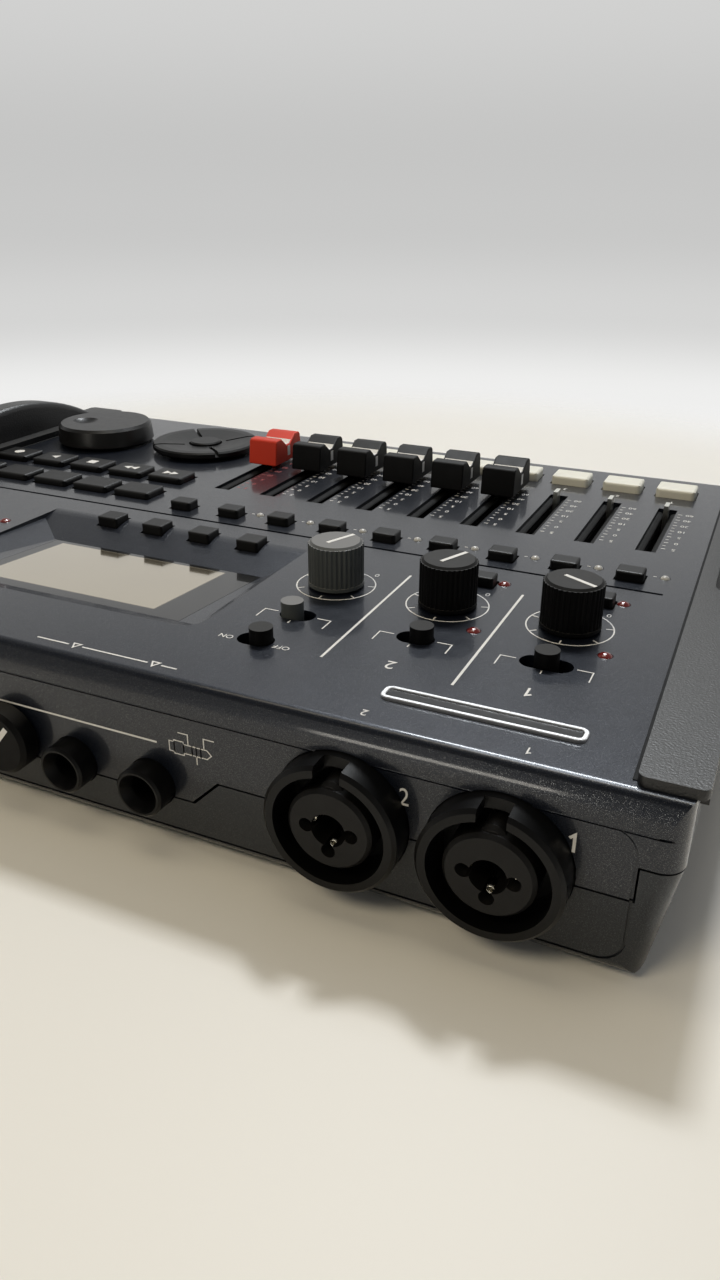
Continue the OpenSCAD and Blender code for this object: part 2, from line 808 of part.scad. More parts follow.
module panel_cuts() {
    for (i = [0 : fader_n - 1])
        translate([fader_at(i), fader_y, under_z - 1]) linear_extrude(through)
            square([slot_w, slot_l], center = true);
    for (i = [0 : knob_n - 1]) translate(knob_at(i)) bushing_hole();
    translate([dial_x, dial_y]) bushing_hole();
    for (s = switch_spots)
        translate([s[0][0], s[0][1], under_z - 1]) linear_extrude(through)
            stadium(stub_d + (s[1] - 1) * switch_step + 2 * stub_gap, stub_d + 2 * stub_gap);
    for (i = [0 : fader_n - 1]) translate([fader_at(i), track_key_y]) key_hole(track_key_w, track_key_d);
    for (i = [0 : soft_n - 1]) translate([soft_at(i), soft_y]) key_hole(soft_key_w, soft_key_d);
    for (i = [0, 1]) translate(knob_at(i) + input_key_at) key_hole(input_key_w, input_key_d);
    for (i = [0 : wide_n - 1], y = [mode_row_y, transport_row_y])
        translate([wide_at(i), y]) key_hole(wide_key_w, wide_key_d);
    for (i = [0 : track_n - 1]) translate([fader_at(i), pad_y]) key_hole(pad_w, pad_d);
    translate([cursor_x, cursor_y, under_z - 1]) cylinder(d = cursor_hub_d + 2 * hub_gap, h = through);
    for (p = status_spots()) translate(p) lamp_hole(status_led_d);
    for (p = peak_spots()) translate(p) lamp_hole(peak_led_d);
    translate([groove_x0, groove_y - groove_w / 2, top_h - groove_depth])
        cube([groove_x1 - groove_x0, groove_w, through]);
}

module top_case() color("#3a3d44") difference() {
    union() {
        difference() {
            intersection() {
                linear_extrude(top_h) case_plan(0);
                along_x(case_w + 2) top_profile(0);
                union() {
                    translate([-case_w, -case_d, seam_z]) cube([2 * case_w, 2 * case_d, top_h]);
                    along_y(inner_rear_y, rear_y + 1) apron_outline(0);
                }
            }
            intersection() {
                translate([0, 0, -eps]) linear_extrude(top_h) case_plan(wall);
                along_x(case_w + 2) top_profile(wall);
            }
        }
        intersection() {
            tray();
            linear_extrude(under_z + eps) case_plan(wall);
        }
        for (p = post_spots) translate([p[0], p[1], post_split_z + seat_gap])
            cylinder(d = post_d, h = under_z + eps - post_split_z - seat_gap);
        for (p = boss_spots) translate([p[0], p[1], board_top])
            cylinder(d = boss_d, h = under_z + eps - board_top);
    }
    recess_cut();
    window_plate(seat_gap, -window_t, 1);
    picture_block(0, -through / 10, 1);
    panel_cuts();
    rear_holes();
    rear_outline();
    lip_line();
    for (p = post_spots) translate([p[0], p[1], post_split_z])
        cylinder(d = screw_d + 2 * seat_gap, h = screw_l - post_split_z + screw_seat_z + 1);
    for (p = boss_spots) translate([p[0], p[1], board_top - 1])
        cylinder(d = board_screw_d + 2 * seat_gap, h = board_screw_l);
    translate([side_x - wall - 1, card_y - card_w / 2 - jack_gap, card_z - jack_gap])
        cube([wall + 2, card_w + 2 * jack_gap, card_h + 2 * jack_gap]);
}

module bottom_case() color("#2e3136") difference() {
    union() {
        difference() {
            bottom_body(0);
            bottom_body(wall);
            translate([-case_w, -case_d, seam_z - seam_gap]) cube([2 * case_w, 2 * case_d, through]);
        }
        for (p = post_spots) translate([p[0], p[1], foot_h + eps])
            cylinder(d = post_d, h = post_split_z - foot_h - eps);
        for (x = jack_post_xs) translate([x, jack_post_y, foot_h + eps])
            cylinder(d = boss_d, h = jack_board_z - foot_h - eps);
        translate([bay_x, bay_y, foot_h + eps]) linear_extrude(bay_wall_h) difference() {
            square([door_w + 2 * bay_wall, door_l + 2 * bay_wall], center = true);
            square([door_w - 2 * door_ledge, door_l - 2 * door_ledge], center = true);
        }
    }
    along_y(inner_rear_y - 1, rear_y + 1) apron_outline(seam_gap);
    rear_holes();
    rear_outline();
    for (p = post_spots) translate([p[0], p[1], -1]) {
        cylinder(d = screw_d + 2 * seat_gap, h = through);
        cylinder(d = screw_head_d + 2 * seat_gap, h = screw_seat_z + 1);
    }
    for (x = jack_post_xs) translate([x, jack_post_y, floor_top])
        cylinder(d = board_screw_d + 2 * seat_gap, h = through);
    translate([bay_x, bay_y, 0]) {
        translate([0, 0, -1]) linear_extrude(foot_h + door_t + 1)
            square([door_w, door_l] + [2, 2] * door_gap, center = true);
        translate([0, 0, -1]) linear_extrude(through)
            square([door_w - 2 * door_ledge, door_l - 2 * door_ledge], center = true);
    }
}

// Battery bay

module battery_door() color("#2b2d31") difference() {
    translate([bay_x, bay_y, foot_h]) linear_extrude(door_t) rounded_rect(door_w, door_l, door_r);
    for (i = [0 : grip_n - 1])
        translate([bay_x, bay_y + door_l / 2 - grip_inset + (i - (grip_n - 1) / 2) * grip_pitch, foot_h])
            along_x(grip_w) circle(d = grip_d);
}

function cell_at(i) = bay_x + (i - (cell_n - 1) / 2) * cell_pitch;

module battery_cells() color("#8f9296") for (i = [0 : cell_n - 1])
    translate([cell_at(i), bay_y, cell_z]) {
        along_y(-cell_l / 2, cell_l / 2 - cell_nub_l) circle(d = cell_d);
        along_y(cell_l / 2 - cell_nub_l - eps, cell_l / 2) circle(d = cell_nub_d);
    }

// Leaf contacts between the cells and the end walls of the bay
module battery_contacts() color("#c8c9c4") for (i = [0 : cell_n - 1], s = [-1, 1]) {
    wall_y = door_l / 2 - door_ledge - seat_gap;
    spring = wall_y - contact_t - cell_l / 2 - seat_gap;
    translate([cell_at(i), bay_y + s * (wall_y - contact_t / 2), cell_z]) {
        translate([-contact_w / 2, -contact_t / 2, -contact_low]) cube([contact_w, contact_t, contact_h]);
        translate([-contact_tab_w / 2, -contact_t / 2, contact_h - contact_low - eps])
            cube([contact_tab_w, contact_t, contact_tab_h]);
    }
    translate([cell_at(i), bay_y + s * (cell_l / 2 + seat_gap + spring / 2), cell_z])
        along_y(-spring / 2, spring / 2 + eps) circle(d = contact_spring_d);
}

// Feet and screws

module rubber_feet() color("#1b1b1c") for (sx = [-1, 1], sy = [-1, 1])
    translate([sx * foot_x, mid_y + sy * foot_y, 0]) {
        cylinder(d1 = foot_d - 2 * foot_bevel, d2 = foot_d, h = foot_bevel);
        translate([0, 0, foot_bevel - eps]) cylinder(d = foot_d, h = foot_h - foot_bevel + eps);
    }

module screw(d, head_d, head_h, length) difference() {
    union() {
        translate([0, 0, -head_h]) cylinder(d = head_d, h = head_h);
        translate([0, 0, -eps]) cylinder(d = d, h = length);
    }
    for (a = [0, 90]) rotate(a) translate([-head_d / 3, -screw_slot / 2, -head_h - screw_slot_depth])
        cube([head_d * 2 / 3, screw_slot, 2 * screw_slot_depth]);
}

module case_screws() color("#6b6d70") for (p = post_spots)
    translate([p[0], p[1], screw_seat_z]) screw(screw_d, screw_head_d, screw_head_h, screw_l);

module board_screws() color("#a9abac") {
    for (p = boss_spots) translate([p[0], p[1], board_top - board_t])
        screw(board_screw_d, board_screw_head_d, board_screw_head_h, board_screw_l);
    for (x = jack_post_xs) translate([x, jack_post_y, jack_board_top]) mirror([0, 0, 1])
        screw(board_screw_d, board_screw_head_d, board_screw_head_h, jack_board_top - floor_top);
}

// Side rails, each a flat strip with a protective arch

module rail() {
    outer = side_x + rail_overhang;
    translate([0, 0, top_h]) linear_extrude(rail_t)
        offset(r = rail_corner_r) offset(delta = -rail_corner_r)
            polygon([[outer, rail_front_y], [outer, rail_rear_y],
                     [outer - rail_rear_w, rail_rear_y], [outer - rail_front_w, rail_front_y]]);
    translate([side_x + seat_gap, rail_front_y + corner_r, top_h - rail_skirt])
        cube([rail_overhang - seat_gap, rail_rear_y - rail_front_y - 2 * corner_r, rail_skirt + eps]);
    intersection() {
        translate([outer - arch_w / 2, arch_y, top_h + arch_h - arch_r]) rotate([0, 90, 0]) rotate([0, 0, 90])
            rotate_extrude($fn = 256) intersection() {
                rotate(-90) loaf(arch_w, arch_r, arch_edge_r);
                translate([arch_r - arch_h - 2, -arch_w]) square([arch_h + 4, 2 * arch_w]);
            }
        translate([0, front_y, top_h]) cube([case_w, case_d, arch_h + 1]);
    }
}

module right_rail() color("#1d1e20") rail();
module left_rail() color("#1d1e20") mirror([1, 0, 0]) rail();

// Boards

module control_board() color("#1f4a33") difference() {
    translate([-board_w / 2, board_front_y, board_top - board_t])
        cube([board_w, board_rear_y - board_front_y, board_t]);
    for (p = post_spots) translate([p[0], p[1], 0]) cylinder(d = post_d + 1, h = through);
    for (p = boss_spots) translate([p[0], p[1], 0]) cylinder(d = board_screw_d + 2 * seat_gap, h = through);
}

module jack_board() color("#1f4a33") difference() {
    translate([jack_board_x0, inner_rear_y - jack_board_gap - jack_board_d, jack_board_z])
        cube([jack_board_x1 - jack_board_x0, jack_board_d, board_t]);
    for (x = jack_post_xs) translate([x, jack_post_y, 0])
        cylinder(d = board_screw_d + 2 * seat_gap, h = through);
}

// Display

module display_window() color("#8d8b84") window_plate(0, -window_t, 0);

module lcd_module() color("#c9c2b2") {
    back = -window_t - tray_t - seat_gap;
    on_window() translate([window_x0 + lcd_margin[0], -window_l + lcd_margin[1], back - lcd_t])
        cube([window_w - 2 * lcd_margin[0], window_l - 2 * lcd_margin[1], lcd_t]);
    picture_block(picture_gap, back - eps, -window_t - seat_gap);
}

// Rear jacks

module combo_jack_shells() color("#17181a") for (i = [0, 1])
    translate([combo_x + i * combo_pitch, 0, combo_z]) difference() {
        union() {
            translate([0, inner_rear_y - seat_gap - eps, 0]) turned_along_y()
                bevelled_rod(combo_d / 2, combo_ring_l, combo_bevel);
            translate([-combo_body_w / 2, inner_rear_y - seat_gap - combo_body_d, jack_board_top - combo_z])
                cube([combo_body_w, combo_body_d, combo_z - jack_board_top + combo_body_w / 2]);
        }
        along_y(combo_floor_y, rear_y + jack_reach + 1) circle(d = combo_gap_d);
        translate([-combo_notch_w / 2, rear_y + jack_reach - combo_notch_depth, 0])
            cube([combo_notch_w, combo_notch_depth + 1, combo_d]);
        along_y(inner_rear_y - combo_body_d + combo_back, rear_y) circle(d = combo_hole_d);
    }

// Half section of a rod with a bevelled end
module bevelled_rod(r, length, bevel) {
    polygon([[0, 0], [r, 0], [r, length - bevel], [r - bevel, length], [0, length]]);
}

// Insert with a hole for a phone plug, three holes for pins and a latch at the top
module combo_jack_inserts() color("#3b3c3e") for (i = [0, 1])
    translate([combo_x + i * combo_pitch, 0, combo_z]) difference() {
        union() {
            translate([0, combo_floor_y, 0]) turned_along_y()
                bevelled_rod(insert_d / 2, combo_floor - insert_sink, combo_bevel);
            translate([0, combo_floor_y, latch_at]) turned_along_y()
                bevelled_rod(latch_d / 2, combo_floor - insert_sink - latch_sink, combo_bevel);
        }
        along_y(rear_y - combo_floor, rear_y + jack_reach + 1) circle(d = combo_hole_d);
        for (a = [0, 180, 270])
            translate([lobe_r * cos(a), 0, lobe_r * sin(a)])
                along_y(combo_floor_y + lobe_floor, rear_y + jack_reach + 1) circle(d = lobe_d);
    }

module line_jacks() color("#1a1b1d") for (x = line_jack_xs)
    translate([x, 0, line_z]) difference() {
        union() {
            translate([-line_body_w / 2, inner_rear_y - seat_gap - line_body_d, jack_board_top - line_z])
                cube([line_body_w, line_body_d, line_z - jack_board_top + line_body_w / 2]);
            translate([0, inner_rear_y - seat_gap - eps, 0]) turned_along_y()
                bevelled_rod(bush_d / 2, bush_reach + wall + seat_gap + eps, bush_bevel);
        }
        along_y(inner_rear_y - line_body_d + line_back, rear_y + bush_reach + 1) circle(d = plug_d);
        translate([0, rear_y + bush_reach + eps, 0]) rotate([90, 0, 0])
            cylinder(d1 = bush_d - 2 * bush_rim, d2 = plug_d, h = bush_mouth);
    }

module usb_socket() color("#b9bbbd") translate([usb_x, 0, usb_mid_z]) difference() {
    along_y(rear_y - usb_l, rear_y - usb_sink) square([usb_w, usb_h], center = true);
    along_y(rear_y - usb_l + usb_back, rear_y + 1) square([usb_w, usb_h] - [2, 2] * usb_wall, center = true);
}

module card_socket() color("#b4b6b8") difference() {
    translate([side_x - wall - card_gap - card_d, card_y - card_w / 2 - card_wall, board_top])
        cube([card_d, card_w + 2 * card_wall, card_h + card_wall]);
    translate([side_x - wall - card_d + card_back, card_y - card_w / 2 + card_gap, card_z])
        cube([through, card_w - 2 * card_gap, card_h - card_gap]);
}

// Faders

module fader_bodies() color("#55585c") for (i = [0 : fader_n - 1])
    translate([fader_at(i), fader_y, board_top]) difference() {
        translate([-fader_body_w / 2, -fader_body_l / 2, 0])
            cube([fader_body_w, fader_body_l, fader_body_h]);
        translate([-lever_t / 2 - lever_gap, -slot_l / 2 + slot_end / 2, lever_root - lever_gap])
            cube([lever_t + 2 * lever_gap, slot_l - slot_end, fader_body_h]);
    }

module lever(up) translate([-lever_t / 2, lever_y - lever_l / 2, lever_root_z])
    cube([lever_t, lever_l, top_h + up - lever_root_z]);

// Side view of one half of a cap, from its saddle to its end
module cap_half() polygon([
    [-eps, 0], [cap_l / 2, 0], [cap_l / 2 - cap_lean, cap_h - cap_bevel],
    [cap_l / 2 - cap_lean - cap_bevel, cap_h], [cap_l / 2 - cap_shoulder, cap_h],
    [saddle_flat / 2, cap_h - cap_saddle], [-eps, cap_h - cap_saddle]
]);

module fader_cap() translate([0, lever_y, top_h + cap_gap]) difference() {
    along_x(cap_w) {
        cap_half();
        mirror([1, 0]) cap_half();
    }
    translate([-lever_t / 2 - shaft_fit, -lever_l / 2 - shaft_fit, -1])
        cube([lever_t + 2 * shaft_fit, lever_l + 2 * shaft_fit, 1 + cap_lever_up - cap_gap + seat_gap]);
}

module fader(i, tint) translate([fader_at(i), 0, 0]) {
    capped = i >= bare_faders;
    color("#c9c9c4") lever(capped ? cap_lever_up : lever_up);
    if (capped) color(tint) fader_cap();
}

// Knobs and the controls under them

module bushing_hole() {
    translate([0, 0, under_z - 1]) cylinder(d = bushing_d + 2 * bushing_gap, h = wall + 2);
}

module control_body() difference() {
    union() {
        translate([-control_body_w / 2, -control_body_w / 2, board_top])
            cube([control_body_w, control_body_w, control_body_h]);
        translate([0, 0, board_top]) cylinder(d = bushing_d, h = bushing_top - board_top);
    }
    translate([0, 0, shaft_root_z - seat_gap]) cylinder(d = shaft_d + 2 * shaft_fit, h = through);
}

module control_bodies() color("#7d8084") {
    for (i = [0 : knob_n - 1]) translate(knob_at(i)) control_body();
    translate([dial_x, dial_y]) control_body();
    translate([phones_knob_x, inner_rear_y - seat_gap - phones_body_d, phones_knob_z]) difference() {
        translate([-control_body_w / 2, 0, jack_board_top - phones_knob_z])
            cube([control_body_w, phones_body_d, phones_knob_z - jack_board_top + control_body_w / 2]);
        along_y(shaft_root - seat_gap, phones_body_d + 1) circle(d = shaft_d + 2 * shaft_fit);
    }
}

// Outline with a rib in the middle of each step
function ribbed(d) = [for (i = [0 : knob_ribs - 1], k = [0 : 3])
    let (a = (i + rib_turns[k]) * 360 / knob_ribs, r = d / 2 - (k == 0 || k == 3 ? rib_depth : 0))
    [r * cos(a), r * sin(a)]];

module panel_knob() {
    base = top_h + knob_gap;
    shaft_top = base + knob_h - shaft_cover;
    difference() {
        union() {
            translate([0, 0, base]) cylinder(d = knob_d, h = knob_skirt);
            translate([0, 0, base + knob_skirt - eps])
                linear_extrude(knob_h - knob_skirt - knob_bevel + eps)
                    polygon(ribbed(knob_d - 2 * skirt_step));
            translate([0, 0, base + knob_h - knob_bevel - eps])
                cylinder(d1 = crown_d, d2 = crown_d - 2 * knob_bevel, h = knob_bevel + eps);
        }
        shaft_socket(base, shaft_top);
    }
    shaft(shaft_top);
}

module shaft_socket(base, top) {
    translate([0, 0, base - 1]) cylinder(d = shaft_d + 2 * shaft_fit, h = top - base + 1 + seat_gap);
}

module shaft(top) {
    translate([0, 0, shaft_root_z]) cylinder(d = shaft_d, h = top - shaft_root_z);
}

module gain_knob(i) color("#161718") translate(knob_at(i)) panel_knob();
module balance_knob() color("#5d6164") translate(knob_at(2)) panel_knob();

module phones_knob() color("#161718") translate([phones_knob_x, rear_y + knob_gap, phones_knob_z]) {
    long = phones_knob_h - knob_gap;
    shaft_end = long - phones_crown;
    body_y = -knob_gap - wall - seat_gap - phones_body_d;
    difference() {
        turned_along_y() bevelled_rod(phones_knob_d / 2, long, phones_bevel);
        along_y(-1, shaft_end + seat_gap) circle(d = shaft_d + 2 * shaft_fit);
    }
    along_y(body_y + shaft_root, shaft_end) circle(d = shaft_d);
}

module jog_dial() color("#222324") translate([dial_x, dial_y, 0]) {
    base = top_h + dial_gap;
    shaft_top = base + dial_h - shaft_cover;
    ball_r = (dimple_d * dimple_d / 4 + dimple_depth * dimple_depth) / (2 * dimple_depth);
    difference() {
        translate([0, 0, base]) rotate_extrude() {
            r = dial_d / 2;
            polygon([[0, 0], [r - dial_foot, 0], [r, dial_foot], [r - dial_lean, dial_h - dial_bevel],
                     [r - dial_lean - dial_bevel, dial_h], [0, dial_h]]);
        }
        translate([dimple_at[0], dimple_at[1], base + dial_h - dimple_depth + ball_r]) sphere(ball_r);
        shaft_socket(base, shaft_top);
    }
    shaft(shaft_top);
}

// Keys and pads

module key(w, d, root, top, r, top_r) translate([0, 0, root]) {
    soft_block(w, d, top - root, r, top_r);
    translate([-w / 2, -d / 2 - flange, 0]) cube([w, d + 2 * flange, flange_t]);
}

module track_keys() color("#1c1d1f") for (i = [0 : fader_n - 1])
    translate([fader_at(i), track_key_y]) key(track_key_w, track_key_d, key_root_z, top_h + key_up, 1, 0.6);

module soft_keys() color("#1c1d1f") for (i = [0 : soft_n - 1])
    translate([soft_at(i), soft_y]) key(soft_key_w, soft_key_d, soft_root_z, top_h + soft_up, 0.8, 0.5);

module input_keys() color("#1c1d1f") for (i = [0, 1])
    translate(knob_at(i) + input_key_at) key(input_key_w, input_key_d, key_root_z, top_h + key_up, 0.8, 0.5);

module wide_keys(y) for (i = [0 : wide_n - 1])
    translate([wide_at(i), y]) key(wide_key_w, wide_key_d, key_root_z, top_h + wide_up, 1.6, 0.9);

module mode_keys() color("#26282b") wide_keys(mode_row_y);
module transport_keys() color("#26282b") wide_keys(transport_row_y);

module pad(i) color("#e4e4da") translate([fader_at(i), pad_y])
    key(pad_w, pad_d, key_root_z, top_h + pad_up, 1.4, 0.9);

// Cursor ring: four finger pads round a well for the enter key

module cursor_ring() color("#2b2d30") translate([cursor_x, cursor_y, 0]) difference() {
    rim = top_h + cursor_rim_gap;
    top = top_h + cursor_up;
    foot = under_z - cursor_tilt_room;
    well = enter_d / 2 + cursor_well_gap;
    hub = cursor_hub_d / 2;
    edge = cursor_d / 2;
    rotate_extrude() polygon([
        [well, foot - flange_t], [hub + flange, foot - flange_t], [hub + flange, foot], [hub, foot],
        [hub, rim], [edge - cursor_bevel, rim], [edge, rim + cursor_bevel], [edge, top - cursor_bevel],
        [edge - cursor_bevel, top], [edge - cursor_rim_w, top],
        [well + 2 * cursor_well_gap, top - cursor_dish], [well, top - cursor_dish]
    ]);
    for (a = [45 : 90 : 315]) rotate(a)
        translate([enter_d / 2 + 2, -cursor_groove / 2, top - cursor_groove_depth])
            cube([cursor_d, cursor_groove, 2 * cursor_groove_depth]);
}

module enter_key() color("#2b2d30") translate([cursor_x, cursor_y, 0]) {
    top = top_h + cursor_up;
    r = enter_d / 2;
    rotate_extrude() polygon([
        [0, enter_root_z], [r + flange, enter_root_z], [r + flange, enter_root_z + flange_t],
        [r, enter_root_z + flange_t], [r, top - enter_bevel], [r - enter_bevel, top], [0, top]
    ]);
}

// Switches under the keys, each a square body with a round plunger

module tact(top) {
    translate([-tact_w / 2, -tact_w / 2, board_top])
        cube([tact_w, tact_w, min(tact_h, top - board_top - tact_stroke)]);
    translate([0, 0, board_top]) cylinder(d = tact_plunger_d, h = top - board_top);
}

module key_switches() color("#8a8c8e") {
    plunger_top = key_root_z - switch_clear;
    for (i = [0 : fader_n - 1]) translate([fader_at(i), track_key_y]) tact(plunger_top);
    for (i = [0 : track_n - 1]) translate([fader_at(i), pad_y]) tact(plunger_top);
    for (i = [0 : soft_n - 1]) translate([soft_at(i), soft_y]) tact(soft_root_z - switch_clear);
    for (i = [0, 1]) translate(knob_at(i) + input_key_at) tact(plunger_top);
    for (i = [0 : wide_n - 1], y = [mode_row_y, transport_row_y])
        translate([wide_at(i), y]) tact(plunger_top);
    translate([cursor_x, cursor_y]) {
        tact(enter_root_z - switch_clear);
        for (a = [0 : 90 : 270]) rotate(a) translate([cursor_hub_d / 2 - 2, 0])
            tact(under_z - cursor_tilt_room - flange_t - cursor_switch_gap);
    }
}

// Lamps

function status_spots() = [for (i = [0 : track_n - 1]) [fader_at(i), track_key_y] + status_led_at];
function peak_spots() = concat([for (i = [0, 1]) knob_at(i) + peak_led_at],
                               [for (i = [0, 1]) knob_at(i) + record_led_at], [lone_led]);

// Lamp with a low dome above the panel
module lamp(d, up) {
    ball_r = (d * d / 4 + up * up) / (2 * up);
    translate([0, 0, board_top]) cylinder(d = d, h = top_h - board_top);
    translate([0, 0, top_h - eps]) intersection() {
        translate([0, 0, up - ball_r]) sphere(ball_r);
        cylinder(d = d, h = d);
    }
}

module status_lamps() color("#f0f0ea") for (p = status_spots()) translate(p) lamp(status_led_d, status_led_up);

module peak_lamps() color("#a8302a") for (p = peak_spots()) translate(p) lamp(peak_led_d, peak_led_up);

// Slide switches

module switch_button(i) {
    s = switch_spots[i];
    x = s[0][0] + ((s[1] - 1) / 2 - s[2]) * switch_step;
    color(i == 2 ? "#6a6d70" : "#161718") translate([x, s[0][1], 0]) {
        translate([0, 0, stub_root_z]) cylinder(d = stub_d, h = top_h + stub_up - stub_root_z);
        translate([-blade_w / 2, -blade_t / 2, board_top + blade_root])
            cube([blade_w, blade_t, switch_floor]);
    }
}

module switch_bodies() color("#6d7073") {
    for (s = switch_spots) {
        run = (s[1] - 1) * switch_step;
        translate([s[0][0], s[0][1], board_top]) difference() {
            translate([-run / 2 - switch_body_end, -switch_body_w / 2, 0])
                cube([run + 2 * switch_body_end, switch_body_w, switch_floor]);
            translate([-run / 2 - blade_w / 2 - blade_gap, -blade_t / 2 - blade_gap, blade_root - blade_gap])
                cube([run + blade_w + 2 * blade_gap, blade_t + 2 * blade_gap, switch_floor]);
        }
    }
    translate([power_x + switch_step / 2, inner_rear_y - seat_gap - power_body_d, power_z]) difference() {
        translate([-power_body_w / 2, 0, jack_board_top - power_z])
            cube([power_body_w, power_body_d, power_z - jack_board_top + power_h]);
        along_y(blade_root - blade_gap, power_body_d + 1)
            square([blade_w + switch_step + 2 * blade_gap, blade_t + 2 * blade_gap], center = true);
    }
}

module power_switch() color("#161718") translate([power_x, 0, power_z]) {
    along_y(inner_rear_y + blade_gap, rear_y + power_up) square([power_w, power_h], center = true);
    along_y(inner_rear_y - seat_gap - power_body_d + blade_root, inner_rear_y + blade_gap + eps)
        square([blade_w, blade_t], center = true);
}

top_case();
bottom_case();
left_rail();
right_rail();
battery_door();
rubber_feet();
case_screws();
board_screws();
control_board();
jack_board();
display_window();
lcd_module();
combo_jack_shells();
combo_jack_inserts();
line_jacks();
fader_bodies();
control_bodies();
key_switches();
status_lamps();
peak_lamps();
switch_bodies();
battery_cells();
battery_contacts();
usb_socket();
card_socket();
for (i = [1 : track_n]) fader(i - 1, "#1e1f21");
fader(track_n, "#d8402c");  // fader_master
gain_knob(0);  // gain_knob_1
gain_knob(1);  // gain_knob_2
balance_knob();
phones_knob();
jog_dial();
switch_button(0);  // source_switch_1
switch_button(1);  // source_switch_2
switch_button(2);  // metronome_switch
switch_button(3);  // phantom_switch
power_switch();
for (i = [1 : track_n]) pad(i - 1);
cursor_ring();
enter_key();
track_keys();
soft_keys();
input_keys();
mode_keys();
transport_keys();
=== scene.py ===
"""Looks of a desktop multitrack recorder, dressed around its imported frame.

+X is the user's right, +Y the jack side, +Z up. The object is laid out in millimetres, while
Blender, the lamps and the camera are in metres.
"""

import math

import bmesh
import bpy
from mathutils import Matrix, Vector


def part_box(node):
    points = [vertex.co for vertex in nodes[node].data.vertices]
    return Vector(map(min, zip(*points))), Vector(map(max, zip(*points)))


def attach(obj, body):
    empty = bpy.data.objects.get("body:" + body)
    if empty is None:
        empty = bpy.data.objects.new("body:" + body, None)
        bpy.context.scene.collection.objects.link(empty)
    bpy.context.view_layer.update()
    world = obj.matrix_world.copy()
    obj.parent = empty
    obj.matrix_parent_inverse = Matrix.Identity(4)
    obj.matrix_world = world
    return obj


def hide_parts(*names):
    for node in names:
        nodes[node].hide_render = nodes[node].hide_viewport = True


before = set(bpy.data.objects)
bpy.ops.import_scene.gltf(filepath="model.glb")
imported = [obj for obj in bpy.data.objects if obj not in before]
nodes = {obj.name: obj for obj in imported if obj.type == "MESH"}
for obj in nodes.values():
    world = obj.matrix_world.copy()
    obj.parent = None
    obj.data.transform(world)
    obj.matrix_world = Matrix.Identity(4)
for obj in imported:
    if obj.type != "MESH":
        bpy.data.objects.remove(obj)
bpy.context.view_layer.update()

MM = 0.001

TRACKS = 8
BARE_FADERS = 3
FADERS = [f"fader_{i + 1}" for i in range(TRACKS)] + ["fader_master"]
CAPPED_FADERS = FADERS[BARE_FADERS:]
PADS = [f"pad_{i + 1}" for i in range(TRACKS)]
KNOBS = ["gain_knob_1", "gain_knob_2", "balance_knob"]
RAILS = ["left_rail", "right_rail"]


def low(node):
    """Lowest corner of a CAD node, in millimetres."""
    return Vector(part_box(node)[0]) / MM


def high(node):
    """Highest corner of a CAD node, in millimetres."""
    return Vector(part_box(node)[1]) / MM


def middle(node):
    """Middle of a CAD node's box, in millimetres."""
    return (low(node) + high(node)) / 2


TOP = high("top_case").z
REAR = high("top_case").y
FADER_X = [middle(name).x for name in FADERS]
LEVER_Y = middle("fader_1").y
LEVER_LONG = high("fader_1").y - low("fader_1").y
FADER_TRAVEL = 30.0
KNOB_AT = [middle(name).xy for name in KNOBS]
KNOB_TOP = high("gain_knob_1").z
INSERT_R = 8.3
COMBO_X = (low("combo_jack_inserts").x + INSERT_R, high("combo_jack_inserts").x - INSERT_R)
COMBO_Z = low("combo_jack_inserts").z + INSERT_R


# Node trees


class Nodes:
    """Short ways to build a node tree."""

    def __init__(self, tree):
        self.tree = tree

    def add(self, kind, inputs=None, **settings):
        """New node, with values or links on its inputs."""
        node = self.tree.nodes.new(kind)
        for key, value in settings.items():
            setattr(node, key, value)
        for key, value in (inputs or {}).items():
            self.feed(node.inputs[key], value)
        return node

    def feed(self, socket, value):
        """Links a socket to another one, or gives it a value."""
        if isinstance(value, bpy.types.NodeSocket):
            self.tree.links.new(value, socket)
        else:
            socket.default_value = value

    def remap(self, value, out_low, out_high, in_low=0.0, in_high=1.0, curve="LINEAR"):
        inputs = {"Value": value, "From Min": in_low, "From Max": in_high,
                  "To Min": out_low, "To Max": out_high}
        return self.add("ShaderNodeMapRange", inputs, interpolation_type=curve).outputs["Result"]

    def axes(self, vector):
        """The X, Y and Z sockets of a vector."""
        return self.add("ShaderNodeSeparateXYZ", {"Vector": vector}).outputs

    def math(self, operation, a, b):
        return self.add("ShaderNodeMath", {0: a, 1: b}, operation=operation).outputs["Value"]

    def vector(self, operation, a, b):
        node = self.add("ShaderNodeVectorMath", {0: a, 1: b}, operation=operation)
        return node.outputs["Vector"]

    def mix(self, fac, a, b, blend="MIX"):
        """Mix of two colours, which are the sockets 6 and 7 of the node."""
        node = self.add("ShaderNodeMix", {0: fac, 6: a, 7: b}, data_type="RGBA", blend_type=blend)
        return node.outputs[2]


